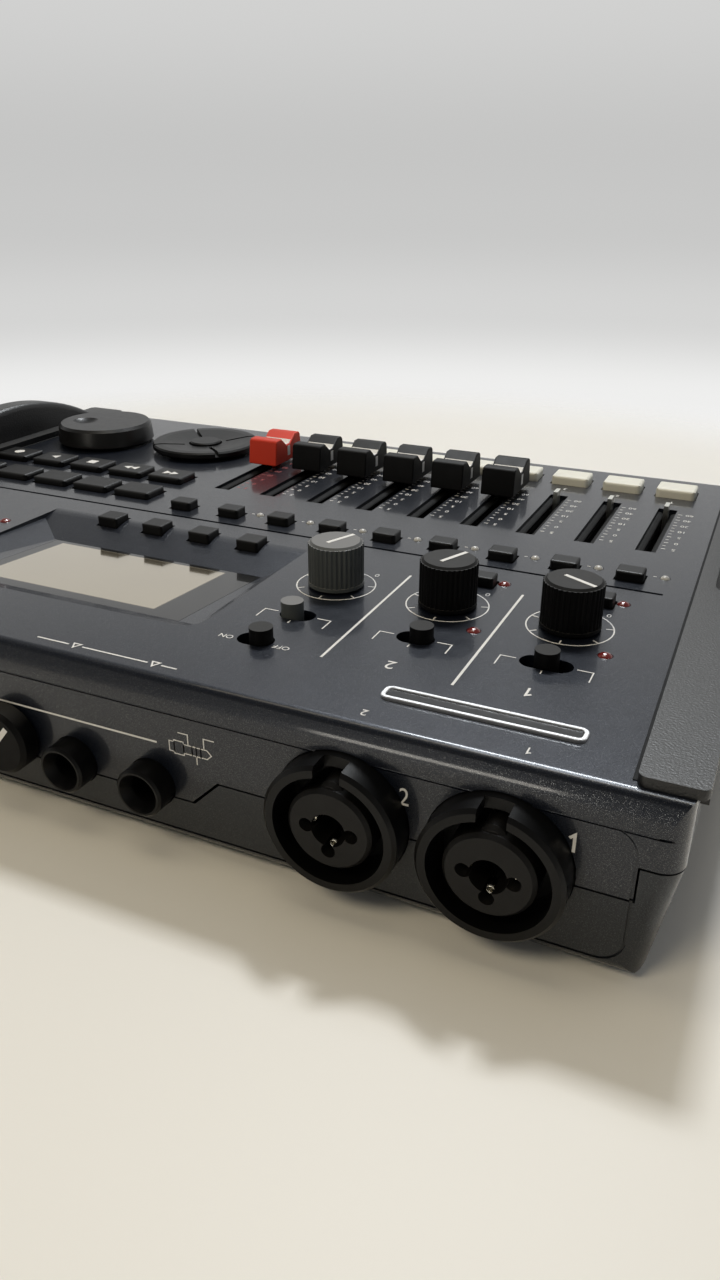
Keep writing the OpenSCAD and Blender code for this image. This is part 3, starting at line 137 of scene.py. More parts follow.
class Shader(Nodes):
    """A node material with one Principled surface."""

    # Upper sides take a lighter painted colour between these heights of the normal: painted light
    # for tops lit from above.
    TOP_LIGHT_FROM = 0.6
    TOP_LIGHT_FULL = 0.95

    def __init__(self, name, **sockets):
        self.material = bpy.data.materials.new(name)
        self.material.use_nodes = True
        super().__init__(self.material.node_tree)
        self.surface = self.tree.nodes["Principled BSDF"]
        for label, value in sockets.items():
            self.drive(label.replace("_", " "), value)
        texture = self.add("ShaderNodeTexCoord")
        self.coords = texture.outputs["Object"]
        self.normal = texture.outputs["Normal"]

    def drive(self, label, value):
        """Links or sets an input of the surface."""
        self.feed(self.surface.inputs[label], value)

    def noise(self, size, detail=2.0):
        """Noise whose lumps are about that many millimetres across, from 0 to 1."""
        inputs = {"Vector": self.coords, "Scale": 1 / (size * MM), "Detail": detail}
        return self.add("ShaderNodeTexNoise", inputs).outputs["Fac"]

    def uneven(self, value, share, size, detail=2.0):
        """A value that wanders by that share either way."""
        return self.remap(self.noise(size, detail), value * (1 - share), value * (1 + share))

    def flakes(self, size):
        """A random colour for each flake of about that many millimetres."""
        cells = self.add("ShaderNodeTexVoronoi", {"Vector": self.coords, "Scale": 1 / (size * MM)})
        return cells.outputs["Color"]

    def upward(self):
        """1 on the upper sides of a piece, 0 on its walls; it places the painted light on lit tops.
        """
        return self.remap(self.axes(self.normal)["Z"], 0.0, 1.0, self.TOP_LIGHT_FROM, self.TOP_LIGHT_FULL)

    def tilt(self, color, amount):
        """Leans the surface by the random colour of each flake."""
        centred = self.vector("SUBTRACT", color, (0.5, 0.5, 0.5))
        lean = self.vector("MULTIPLY", centred, (amount, amount, amount))
        upright = self.add("ShaderNodeNewGeometry").outputs["Normal"]
        leaning = self.vector("ADD", upright, lean)
        level = self.add("ShaderNodeVectorMath", {0: leaning}, operation="NORMALIZE")
        self.drive("Normal", level.outputs["Vector"])

    def bump(self, height, depth):
        """Relief of that many millimetres from a 0 to 1 height."""
        inputs = {"Height": height, "Strength": 1.0, "Distance": depth * MM}
        self.drive("Normal", self.add("ShaderNodeBump", inputs).outputs["Normal"])


# Finishes; the sizes of lumps, flakes and grain are in millimetres

TONE_LUMP = 9.0
GLOSS_LUMP = 2.5
GLOSS_SPREAD = 0.12

PAINT_LUMP = 14.0
PAINT_SPREAD = 0.08
SATIN_LUMP = 3.0
SATIN_SPREAD = 0.15
FLAKE_TINT = (0.93, 0.97, 1.0)
FLAKE_BRIGHT = (0.88, 0.98)
FLAKE_METAL = (0.6, 1.0)
METAL_SHARE = (0.35, 0.95)
FLAKE_POLISH = 0.3
CLEAR_COAT = {"Coat_Roughness": 0.09, "Coat_IOR": 1.36}

STREAK_STRETCH = (1.0, 0.06, 1.0)
STREAKS_PER_METRE = 6000.0
STREAK_TONES = (0.86, 1.1)
STREAK_GLOSS = (0.8, 1.3)


def grey(level, tint=(1.0, 1.0, 1.0)):
    """A level of grey, or that share of a tint."""
    return (level * tint[0], level * tint[1], level * tint[2], 1.0)


def moulded(name, color, roughness, grain=0.35, depth=0.012, spread=0.25, lit_top=None, **sockets):
    """Moulded plastic: fine grain, faint tones, uneven gloss and, if asked, a lighter upper side,
    which is painted light for tops lit from above.
    """
    shader = Shader(name, Roughness=roughness, **sockets)
    tone = shader.noise(TONE_LUMP, 3.0)
    body = shader.mix(tone, grey(1 - spread, color), grey(1 + spread, color))
    # Lighter colour on the upper sides: painted light, as if lit from above.
    if lit_top:
        body = shader.mix(shader.upward(), body, grey(lit_top))
    shader.drive("Base Color", body)
    shader.drive("Roughness", shader.uneven(roughness, GLOSS_SPREAD, GLOSS_LUMP))
    shader.bump(shader.noise(grain), depth)
    return shader


def metallic_paint(name, color, roughness, flake, glint, lean, coat):
    """Dark paint with fine metal flakes, each leaning its own way, under a clear gloss."""
    shader = Shader(name, Roughness=roughness, Coat_Weight=coat, **CLEAR_COAT)
    spread = shader.flakes(flake)
    spark = shader.add("ShaderNodeSeparateColor", {"Color": spread}).outputs["Red"]
    bright = shader.remap(spark, 0.0, 1.0, *FLAKE_BRIGHT)
    cloud = shader.noise(PAINT_LUMP)
    base = shader.mix(cloud, grey(1 - PAINT_SPREAD, color), grey(1 + PAINT_SPREAD, color))
    shader.drive("Base Color", shader.mix(bright, base, grey(glint, FLAKE_TINT)))
    shader.drive("Metallic", shader.remap(spark, *METAL_SHARE, *FLAKE_METAL))
    satin = shader.uneven(roughness, SATIN_SPREAD, SATIN_LUMP, 3.0)
    polish = shader.remap(bright, 0.0, roughness * FLAKE_POLISH)
    shader.drive("Roughness", shader.math("SUBTRACT", satin, polish))
    shader.tilt(spread, lean)
    return shader


def plated(name, color, roughness):
    """Brushed or plated metal with fine streaks."""
    shader = Shader(name, Metallic=1.0, Roughness=roughness)
    stretch = shader.add("ShaderNodeMapping", {"Vector": shader.coords, "Scale": STREAK_STRETCH})
    inputs = {"Vector": stretch.outputs["Vector"], "Scale": STREAKS_PER_METRE, "Detail": 2.0}
    streak = shader.add("ShaderNodeTexNoise", inputs).outputs["Fac"]
    dark, light = (grey(tone, color) for tone in STREAK_TONES)
    shader.drive("Base Color", shader.mix(streak, dark, light))
    shader.drive("Roughness", shader.remap(streak, *(roughness * share for share in STREAK_GLOSS)))
    return shader


BORDER_LEFT, BORDER_RIGHT = 9.1, 3.4
BORDER_FRONT, BORDER_REAR = 1.6, 3.7
PICTURE_X = (low("display_window").x + BORDER_LEFT, high("display_window").x - BORDER_RIGHT)
PICTURE_Y = (low("display_window").y + BORDER_FRONT, high("display_window").y - BORDER_REAR)
PICTURE_BLUR = 0.25
PICTURE_LUMP = 16.0
PICTURE_TONES = ((0.58, 0.515, 0.395, 1.0), (0.62, 0.55, 0.42, 1.0))
PICTURE_SHEEN = 0.88
PICTURE_ROUGH = 0.1
BORDER_TONES = (grey(0.008), grey(0.012))
BORDER_ROUGH = 0.3


def display_glass():
    """Glossy window: a dark border round the pale unlit picture area."""
    shader = Shader("display_glass", Specular_IOR_Level=0.1, Coat_Weight=1.0, Coat_Roughness=0.02,
                    Coat_IOR=1.4)
    place = shader.axes(shader.coords)
    mask = 1.0
    for axis, limits in (("X", PICTURE_X), ("Y", PICTURE_Y)):
        for limit, blur in zip(limits, (PICTURE_BLUR, -PICTURE_BLUR)):
            side = shader.remap(place[axis], 0.0, 1.0, (limit - blur) * MM, (limit + blur) * MM)
            mask = shader.math("MULTIPLY", mask, side)
    cloud = shader.noise(PICTURE_LUMP, 1.0)
    picture = shader.mix(cloud, *PICTURE_TONES)
    border = shader.mix(cloud, *BORDER_TONES)
    shader.drive("Base Color", shader.mix(mask, border, picture))
    shader.drive("Metallic", shader.remap(mask, 0.0, PICTURE_SHEEN))
    shader.drive("Roughness", shader.remap(mask, BORDER_ROUGH, PICTURE_ROUGH))
    return shader


PAINT = metallic_paint("case_paint", (0.0048, 0.0076, 0.0162), roughness=0.36, flake=0.065,
                       glint=0.17, lean=0.18, coat=0.88)
LOWER = metallic_paint("lower_paint", (0.014, 0.0175, 0.0235), roughness=0.42, flake=0.065,
                       glint=0.12, lean=0.16, coat=0.60)
# The lighter level for the upper sides of rails, black plastics, caps, keys and grey knobs is
# painted light on tops lit from above.
RAIL = moulded("rail_finish", (0.004, 0.004, 0.0045), 0.42, grain=0.5, depth=0.10, lit_top=0.030,
               IOR=1.55)
BLACK = moulded("satin_black", (0.0012, 0.0012, 0.0014), 0.55, lit_top=0.030, IOR=1.26)
CAP = moulded("cap_black", (0.0025, 0.0025, 0.0027), 0.55, lit_top=0.018, IOR=1.28)
RING = moulded("jack_black", (0.0028, 0.0028, 0.003), 0.36, grain=0.25, IOR=1.31)
INSERT = moulded("insert_grey", (0.005, 0.0047, 0.0047), 0.50, grain=0.3, depth=0.03, spread=0.5,
                 IOR=1.34)
KEY = moulded("key_black", (0.0025, 0.0025, 0.0027), 0.42, lit_top=0.008, IOR=1.38)
DIAL = moulded("dial_black", (0.008, 0.008, 0.0085), 0.34, IOR=1.42)
GREY = moulded("knob_grey", (0.060, 0.068, 0.070), 0.45, lit_top=0.15)
RED = moulded("cap_red", (0.62, 0.045, 0.020), 0.55, spread=0.1, IOR=1.36)
PAD = moulded("pad_white", (0.78, 0.78, 0.71), 0.52, spread=0.05, Subsurface_Weight=0.25,
              Subsurface_Radius=(0.002, 0.002, 0.0018))
FOOT = moulded("foot_rubber", (0.018, 0.018, 0.018), 0.75, grain=0.5, depth=0.03)
INK = moulded("print_white", (0.74, 0.74, 0.73), 0.55, grain=0.12, depth=0.004, spread=0.12)
INK_RED = moulded("print_red", (0.42, 0.10, 0.10), 0.55, grain=0.12, depth=0.004, spread=0.12)
FELT = moulded("slot_lip", (0.003, 0.003, 0.003), 0.7, grain=0.2, depth=0.03, IOR=1.3)
BOARD = moulded("solder_mask", (0.02, 0.10, 0.05), 0.4)
LAMP_WHITE = moulded("lamp_white", (0.46, 0.46, 0.45), 0.25, spread=0.05)
LAMP_RED = moulded("lamp_red", (0.15, 0.016, 0.015), 0.15, spread=0.2, Coat_Weight=0.6)
STEEL = plated("plated_steel", (0.52, 0.52, 0.53), 0.28)
LEVER = plated("lever_metal", (0.78, 0.77, 0.70), 0.3)
CONTACT = plated("contact_plate", (0.80, 0.76, 0.66), 0.2)
BRIGHT = plated("bright_rim", (0.92, 0.92, 0.92), 0.3)
CELL = plated("cell_wrap", (0.35, 0.36, 0.38), 0.35)
WINDOW = display_glass()

FINISH = {
    "top_case": PAINT, "bottom_case": LOWER, "battery_door": LOWER, "rubber_feet": FOOT,
    "left_rail": RAIL, "right_rail": RAIL, "case_screws": STEEL, "board_screws": STEEL,
    "control_board": BOARD, "jack_board": BOARD, "display_window": WINDOW, "lcd_module": GREY,
    "combo_jack_shells": RING, "combo_jack_inserts": INSERT, "line_jacks": RING,
    "usb_socket": STEEL, "card_socket": STEEL, "battery_cells": CELL, "battery_contacts": CONTACT,
    "fader_bodies": FELT, "control_bodies": STEEL, "switch_bodies": BLACK, "key_switches": GREY,
    "status_lamps": LAMP_WHITE, "peak_lamps": LAMP_RED, "fader_master": RED, "balance_knob": GREY,
    "metronome_switch": GREY, "jog_dial": DIAL,
}


def finish_of(name):
    """The finish of a CAD node, by its name or its kind."""
    if name in FINISH:
        return FINISH[name]
    if name in PADS:
        return PAD
    if name in FADERS:
        return CAP if name in CAPPED_FADERS else LEVER
    return KEY if name.endswith(("keys", "key", "ring")) else BLACK


for name, node in nodes.items():
    node.data.materials.clear()
    node.data.materials.append(finish_of(name).material)


# Shapes and pieces


def mesh_of(shape, name):
    """Mesh from a shape, which is freed."""
    mesh = bpy.data.meshes.new(name)
    shape.to_mesh(mesh)
    shape.free()
    return mesh


def add_piece(name, mesh, shader, body):
    """New piece in metres that rides on a body."""
    piece = bpy.data.objects.new(name, mesh)
    bpy.context.scene.collection.objects.link(piece)
    mesh.materials.clear()
    mesh.materials.append(shader.material)
    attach(piece, body)
    return piece


def add_fixed(name, shapes, shader, smooth=False):
    """One piece on the chassis from closed shapes in millimetres."""
    whole = bmesh.new()
    for shape in shapes:
        bmesh.ops.recalc_face_normals(shape, faces=shape.faces)
        part = mesh_of(shape, "part")
        whole.from_mesh(part)
        bpy.data.meshes.remove(part)
    for face in whole.faces:
        face.smooth = smooth
    whole.transform(Matrix.Scale(MM, 4))
    add_piece(name, mesh_of(whole, name), shader, "chassis")


def turned(profile, steps):
    """Closed solid turned about Z from (radius, height) points that start and end on the axis."""
    shape = bmesh.new()
    turns = [2 * math.pi * i / steps for i in range(steps)]
    rings = []
    for radius, height in profile:
        if radius == 0:
            rings.append([shape.verts.new((0, 0, height))])
            continue
        points = [(radius * math.cos(a), radius * math.sin(a), height) for a in turns]
        rings.append([shape.verts.new(p) for p in points])
    for lower, upper in zip(rings, rings[1:]):
        for i in range(steps):
            j = (i + 1) % steps
            corners = [lower[i % len(lower)], lower[j % len(lower)],
                       upper[j % len(upper)], upper[i % len(upper)]]
            shape.faces.new(list(dict.fromkeys(corners)))
    return shape


def swept(loops, closed=False):
    """Skin over loops of equal length; a closed skin joins the last loop to the first."""
    shape = bmesh.new()
    rows = [[shape.verts.new(p) for p in loop] for loop in loops]
    count = len(rows[0])
    pairs = list(zip(rows, rows[1:])) + ([(rows[-1], rows[0])] if closed else [])
    for a, b in pairs:
        for i in range(count):
            j = (i + 1) % count
            shape.faces.new((a[i], a[j], b[j], b[i]))
    if not closed:
        shape.faces.new(rows[0][::-1])
        shape.faces.new(rows[-1])
    return shape


def surface_frame(origin, right, up):
    """Matrix from millimetres on a flat surface to metres in the shared frame."""
    right = Vector(right).normalized()
    up = Vector(up).normalized()
    matrix = Matrix((right, up, right.cross(up))).transposed().to_4x4()
    return Matrix.Translation(Vector(origin) * MM) @ matrix @ Matrix.Scale(MM, 4)


def level_frame(x, y, z):
    """Surface that looks up, with X to its right."""
    return surface_frame((x, y, z), (1, 0, 0), (0, 1, 0))


def rear_frame(y):
    """Surface that looks to the rear, seen from there, with -X to its right."""
    return surface_frame((0, y, 0), (-1, 0, 0), (0, 0, 1))


class Print:
    """A thin layer of ink, drawn in millimetres on a flat surface."""

    LIFT = 0.012
    THICK = 0.03
    ROUND = 48
    WELD = 1e-5
    MITRE_LEAST = 0.3
    FIGURE_SHARE = 0.7
    ONE_STROKE = ((-0.24, 0.24), (0.06, 0.46), (0.06, -0.5))
    ONE_WIDTH = 0.15

    def __init__(self):
        self.mesh = bmesh.new()

    def face(self, points):
        self.mesh.faces.new([self.mesh.verts.new((x, y, 0.0)) for x, y in points])

    def path(self, points, width, closed=False):
        """A line of even width with mitred corners."""
        points = [Vector(p) for p in points]
        count = len(points)
        rows = []
        for i, point in enumerate(points):
            ahead = points[(i + 1) % count] - point if closed or i + 1 < count else None
            behind = point - points[i - 1] if closed or i > 0 else None
            along = [d.normalized() for d in (behind, ahead) if d is not None]
            normals = [Vector((-d.y, d.x)) for d in along]
            mitre = sum(normals, Vector((0, 0))).normalized()
            reach = width / 2 / max(self.MITRE_LEAST, mitre.dot(normals[0]))
            edges = [point + side * mitre * reach for side in (1, -1)]
            rows.append([self.mesh.verts.new((*edge, 0.0)) for edge in edges])
        for i in range(count if closed else count - 1):
            a, b = rows[i], rows[(i + 1) % count]
            self.mesh.faces.new((a[0], a[1], b[1], b[0]))

    def bar(self, start, end, width):
        self.path((start, end), width)

    def circle(self, centre, radius):
        """Points of a circle."""
        turns = [2 * math.pi * i / self.ROUND for i in range(self.ROUND)]
        return [(centre[0] + radius * math.cos(a), centre[1] + radius * math.sin(a)) for a in turns]

    def ring(self, centre, radius, width):
        self.path(self.circle(centre, radius), width, True)

    def disc(self, centre, radius):
        self.face(self.circle(centre, radius))

    def figure(self, text, centre, height, spread=1.0):
        """Plain figures, centred; a lone 1 is drawn as a stroke with a flag."""
        x, y = centre
        if text == "1":
            flag = [(x + u * height * spread, y + v * height) for u, v in self.ONE_STROKE]
            self.path(flag, self.ONE_WIDTH * height)
            return
        curve = bpy.data.curves.new("figure", "FONT")
        curve.body = text
        curve.size = height / self.FIGURE_SHARE
        curve.align_x = "CENTER"
        curve.align_y = "CENTER"
        holder = bpy.data.objects.new("figure", curve)
        flat = bpy.data.meshes.new_from_object(holder)
        flat.transform(Matrix.Translation((x, y, 0.0)) @ Matrix.Diagonal((spread, 1.0, 1.0, 1.0)))
        self.mesh.from_mesh(flat)
        bpy.data.objects.remove(holder)
        bpy.data.meshes.remove(flat)
        bpy.data.curves.remove(curve)

    def lay(self, name, surface, shader, body):
        """Gives the ink its thickness and puts it on the surface."""
        shape = self.mesh
        bmesh.ops.remove_doubles(shape, verts=shape.verts, dist=self.WELD)
        raised = bmesh.ops.extrude_face_region(shape, geom=shape.faces[:])["geom"]
        upper = [v for v in raised if isinstance(v, bmesh.types.BMVert)]
        bmesh.ops.translate(shape, verts=upper, vec=(0, 0, self.THICK))
        bmesh.ops.translate(shape, verts=shape.verts, vec=(0, 0, self.LIFT))
        bmesh.ops.recalc_face_normals(shape, faces=shape.faces)
        shape.transform(surface)
        add_piece(name, mesh_of(shape, name), shader, body)


# Prints on the top panel

KNOB_RING = 9.2
KNOB_SWEEP = 157
KNOB_TICKS = 6
TICK_LONG = 1.7
RING_LINE = 0.3
RING_END_TURN = 12
RING_END_HIGH = 1.6
RING_ENDS = (("0", 2.0, 1), ("10", 2.2, -1))

SEPARATOR_Y = (19.6, 67.0)
SEPARATOR_LINE = 0.55

BRACKET_Y = 51.0
BRACKET_START = (6.1, 4.8, 4.8)
BRACKET_ARM = 3.2
BRACKET_HOOK = 4.2
BRACKET_LINE = 0.28
MIDDLE_MARK = (3.4, 4.6)
SWITCH_SIGNS = (("1", 0, 0.0, 63.6, 3.2), ("2", 1, 0.0, 64.2, 3.2),
                ("ON", 2, 8.4, 66.6, 1.5), ("OFF", 2, -4.6, 66.6, 1.5))

LEVELS = ("60", "40", "20", "10", "5", "0", "5")
LEVEL_FIGURE_X = -6.4
LEVEL_FIGURE_HIGH = 1.55
LEVEL_MARK = (-4.4, -3.3)
LEVEL_LINE = 0.32
HALF_MARK = (-4.1, -3.3)
HALF_LINE = 0.25

RULE_Y = 83.5
RULE_RUNS = ((4.5, -3.6), (-7.0, -23.0), (-26.2, -29.8))
RULE_LINE = 0.4
RULE_SIGN_X = (-5.3, -24.6)
RULE_SIGN = ((-0.9, -0.8), (0.0, 0.9), (0.9, -0.8))
RULE_SIGN_LINE = 0.35

LAMP_DASH = (-5.6, -4.8)
LAMP_DASH_Y = -4.6
LAMP_DASH_LINE = 0.3
PAD_FIGURE_Y = -65.6
PAD_FIGURE_HIGH = 1.8
EDGE_FIGURES = (("1", (-99.5, 83.2)), ("2", (-69.5, 83.2)))
EDGE_FIGURE_HIGH = 2.0


def around(centre, radius, turn):
    """Point at that turn in degrees from the rear, anticlockwise."""
    a = math.radians(turn)
    return (centre[0] - radius * math.sin(a), centre[1] + radius * math.cos(a))


def knob_rings(ink):
    """A ring with ticks round each knob, and a figure at both ends of its sweep."""
    for at in KNOB_AT:
        ink.ring(at, KNOB_RING, RING_LINE)
        for i in range(KNOB_TICKS + 1):
            turn = KNOB_SWEEP * (2 * i / KNOB_TICKS - 1)
            inner = around(at, KNOB_RING - TICK_LONG, turn)
            ink.bar(around(at, KNOB_RING, turn), inner, RING_LINE)
        for text, gap, way in RING_ENDS:
            turn = way * (KNOB_SWEEP - RING_END_TURN)
            ink.figure(text, around(at, KNOB_RING + gap, turn), RING_END_HIGH)


def separators(ink):
    """A line half way between two knobs."""
    for left, right in zip(KNOB_AT, KNOB_AT[1:]):
        x = (left[0] + right[0]) / 2
        ink.bar((x, SEPARATOR_Y[0]), (x, SEPARATOR_Y[1]), SEPARATOR_LINE)


def switch_brackets(ink):
    """Hooked lines at both ends of a switch slot, and the signs behind it."""
    y = BRACKET_Y
    for (x, _), reach in zip(KNOB_AT, BRACKET_START):
        for side in (-1, 1):
            start = x + side * reach
            end = start + side * BRACKET_ARM
            ink.path([(start, y), (end, y), (end, y + BRACKET_HOOK)], BRACKET_LINE)
        ink.bar((x, y + MIDDLE_MARK[0]), (x, y + MIDDLE_MARK[1]), BRACKET_LINE)
    for text, knob, shift, sign_y, height in SWITCH_SIGNS:
        ink.figure(text, (KNOB_AT[knob][0] + shift, sign_y), height)


def fader_scale(ink, x):
    """Level marks with plain figures at the left of a slot."""
    step = FADER_TRAVEL / (len(LEVELS) - 1)
    for i, level in enumerate(LEVELS):
        y = LEVER_Y + i * step
        ink.bar((x + LEVEL_MARK[0], y), (x + LEVEL_MARK[1], y), LEVEL_LINE)
        ink.figure(level, (x + LEVEL_FIGURE_X, y), LEVEL_FIGURE_HIGH)
        if i + 1 < len(LEVELS):
            half_way = y + step / 2
            ink.bar((x + HALF_MARK[0], half_way), (x + HALF_MARK[1], half_way), HALF_LINE)


def output_rule(ink):
    """A broken line over the output jacks, with a small triangle in each gap."""
    for start, end in RULE_RUNS:
        ink.bar((start, RULE_Y), (end, RULE_Y), RULE_LINE)
    for x in RULE_SIGN_X:
        ink.path([(x + u, RULE_Y + v) for u, v in RULE_SIGN], RULE_SIGN_LINE, True)


def panel_prints():
    ink = Print()
    knob_rings(ink)
    separators(ink)
    switch_brackets(ink)
    output_rule(ink)
    for i, x in enumerate(FADER_X[:TRACKS]):
        fader_scale(ink, x)
        ink.bar((x + LAMP_DASH[0], LAMP_DASH_Y), (x + LAMP_DASH[1], LAMP_DASH_Y), LAMP_DASH_LINE)
        ink.figure(str(i + 1), (x, PAD_FIGURE_Y), PAD_FIGURE_HIGH)
    for text, at in EDGE_FIGURES:
        ink.figure(text, at, EDGE_FIGURE_HIGH)
    panel = level_frame(0, 0, TOP)
    ink.lay("panel_print", panel, INK, "chassis")
    master = Print()
    fader_scale(master, FADER_X[TRACKS])
    master.lay("master_print", panel, INK_RED, "chassis")


# Prints on the rear wall, as (-X, Z)

REAR_RULE = ((-12.4, 24.1), (27.6, 24.1))
REAR_RULE_LINE = 0.42
REAR_FIGURES = (("1", (109.5, 26.4)), ("2", (79.8, 26.4)))
REAR_FIGURE_HIGH = 3.6
REAR_FIGURE_SPREAD = 0.8

PLUG_AT = (30.6, 24.2)
PLUG_LINE = 0.22
PLUG_BODY = ((0.0, 1.1, 1.1), (1.1, 3.3, 1.5), (3.3, 5.2, 1.0), (5.2, 6.2, 1.0), (6.2, 7.2, 1.0))
PLUG_TIP = ((7.2, -1.0), (8.6, -1.0), (9.6, 0.0), (8.6, 1.0), (7.2, 1.0))
PLUG_LEADS = (((4.4, 1.0), (4.4, 3.4), (2.2, 3.4)), ((8.0, 1.0), (8.0, 3.4), (10.4, 3.4)),
              ((6.2, -1.0), (6.2, -2.9)))


def plug_diagram(ink):
    """Small outline of a phone plug with a line to each of its contacts."""
    def line(points, closed):
        ink.path([(PLUG_AT[0] + u, PLUG_AT[1] + v) for u, v in points], PLUG_LINE, closed)

    for start, end, half in PLUG_BODY:
        line([(start, -half), (end, -half), (end, half), (start, half)], True)
    line(PLUG_TIP, True)
    for lead in PLUG_LEADS:
        line(lead, False)


def rear_prints():
    ink = Print()
    ink.bar(*REAR_RULE, REAR_RULE_LINE)
    for text, at in REAR_FIGURES:
        ink.figure(text, at, REAR_FIGURE_HIGH, REAR_FIGURE_SPREAD)
    plug_diagram(ink)
    ink.lay("rear_print", rear_frame(REAR), INK, "chassis")


# White marks on the controls

POINTER_REACH = (-2.6, 5.6)
POINTER_LINE = 0.95
POINTER_TURN = {"gain_knob_1": 62, "gain_knob_2": 157, "balance_knob": 157}
PHONES_REACH = (-0.5, 5.6)
PHONES_LINE = 1.2
PHONES_TURN = -40

CAP_SADDLE = 2.6
SADDLE_FLAT = 2.2
SADDLE_RUN = 3.3
MARK_CLIMB = 1.5
MARK_DROP = 3.6
MARK_EDGE = 0.5

ICON = 1.5
ICON_BACK = 0.8
ICON_DISC = 1.1
TWIN_STEP = 1.3
KEY_WIDE = 12.6
WIDE_KEYS = 5


def pointer(name, surface, centre, reach, turn, width):
    """A line on the face of a knob."""
    ink = Print()
    ink.bar(*(around(centre, radius, turn) for radius in reach), width)
    ink.lay(name + "_pointer", surface, INK, name + "_body")


def knob_pointers():
    for name, at in zip(KNOBS, KNOB_AT):
        face = level_frame(0, 0, KNOB_TOP)
        pointer(name, face, at, POINTER_REACH, POINTER_TURN[name], POINTER_LINE)
    face = rear_frame(high("phones_knob").y)
    centre = (-middle("phones_knob").x, middle("phones_knob").z)
    pointer("phones_knob", face, centre, PHONES_REACH, PHONES_TURN, PHONES_LINE)


def cap_marks():
    """A white band across the saddle of each cap, up its two slopes and down both sides."""
    for name, x in zip(CAPPED_FADERS, FADER_X[BARE_FADERS:]):
        half = (high(name).x - low(name).x) / 2
        saddle = high(name).z - CAP_SADDLE
        reach = half - MARK_EDGE
        flat = Print()
        flat.bar((-reach, 0), (reach, 0), SADDLE_FLAT)
        flat.lay(name + "_mark", level_frame(x, LEVER_Y, saddle), INK, name + "_body")
        for way, label in ((1, "rear"), (-1, "front")):
            climb = Print()
            climb.bar((0, 0), (0, MARK_CLIMB), 2 * reach)
            foot = (x, LEVER_Y + way * SADDLE_FLAT / 2, saddle)
            slope = surface_frame(foot, (way, 0, 0), (0, way * SADDLE_RUN, CAP_SADDLE))
            climb.lay(f"{name}_{label}_mark", slope, INK, name + "_body")
        for way, label in ((-1, "left"), (1, "right")):
            drop = Print()
            drop.bar((0, -MARK_EDGE), (0, -MARK_DROP), SADDLE_FLAT - MARK_EDGE)
            side = surface_frame((x + way * half, LEVER_Y, saddle), (0, way, 0), (0, 0, 1))
            drop.lay(f"{name}_{label}_mark", side, INK, name + "_body")


def key_icons():
    """Plain tape signs on the row of keys nearest the dial."""
    first, last = low("transport_keys").x, high("transport_keys").x
    pitch = (last - first - KEY_WIDE) / (WIDE_KEYS - 1)
    back, ahead, stop, play, record = (first + KEY_WIDE / 2 + i * pitch for i in range(WIDE_KEYS))
    y = middle("transport_keys").y
    ink = Print()

    def arrow(x, way):
        tail = x - way * ICON * ICON_BACK
        ink.face([(tail, y - ICON), (x + way * ICON, y), (tail, y + ICON)][::way])

    for x, way in ((back, -1), (ahead, 1)):
        arrow(x - TWIN_STEP, way)
        arrow(x + TWIN_STEP, way)
    square = ((-1, -1), (1, -1), (1, 1), (-1, 1))
    ink.face([(stop + u * ICON, y + v * ICON) for u, v in square])
    arrow(play, 1)
    ink.disc((record, y), ICON * ICON_DISC)
    face = level_frame(0, 0, high("transport_keys").z)
    ink.lay("transport_icons", face, INK, "transport_keys_body")


# Small hardware; sections are points across the run, measured from the panel or the wall

SLOT_HALF = 2.55
SLIT_HALF = 0.95
SLOT_END = 1.7
SLOT_LIP = ((SLOT_HALF, -1.9), (SLOT_HALF, -0.95), (1.9, -1.0), (1.25, -1.25), (SLIT_HALF, -1.5),
            (SLIT_HALF, -1.9))

PLATE_AT = (-88.6, 75.2)
PLATE_HALF = (19.0, 2.3)
PLATE_CORNER = 1.6
PLATE_GAP = 0.01
PLATE_RIM = ((0.0, 0.0), (0.0, 0.5), (0.15, 0.65), (0.75, 0.65), (0.9, 0.5), (0.9, 0.0))
PLATE_FACE = ((0.92, 0.0), (0.92, 0.3), (1.0, 0.36))
CORNER_STEPS = 8

RAIL_REAR_WIDE = 11.0
# Section of the dark strip at the inner side of each rail, which is painted shade for the gap
# there.
SHADE_STRIP = ((0.0, 0.01), (0.0, 0.12), (0.1, 0.16), (0.7, 0.16), (0.8, 0.12), (0.8, 0.01))
SHADE_STRIP_END = 1.5

CREASE_DROP = 7.0
BEAD = ((-0.47, 0.03), (-0.22, 0.03), (-0.13, 0.12), (-0.10, 0.25), (-0.13, 0.38), (-0.22, 0.47),
        (-0.47, 0.47))
BEAD_END = 4.5

PIN_TURNS = (0, 180, 270)
PIN_REACH = 4.4
PIN_FLOOR = 2.0
PIN_LONG = 4.2
PIN_PROFILE = ((0, 0), (1.05, 0), (1.05, PIN_LONG - 0.3), (0.85, PIN_LONG), (0.55, PIN_LONG),
               (0.45, PIN_LONG - 0.25), (0.45, 1.0), (0, 1.0))
PIN_STEPS = 24


def slot_lips():
    """Two soft lips in each fader slot that keep dirt out and part for the lever."""
    start = LEVER_Y - LEVER_LONG / 2 - SLOT_END
    end = LEVER_Y + FADER_TRAVEL + LEVER_LONG / 2 + SLOT_END
    strips = []
    for x in FADER_X:
        for side in (-1, 1):
            loops = [[(x + side * u, y, TOP + v) for u, v in SLOT_LIP] for y in (start, end)]
            strips.append(swept(loops))
    add_fixed("slot_lips", strips, FELT)


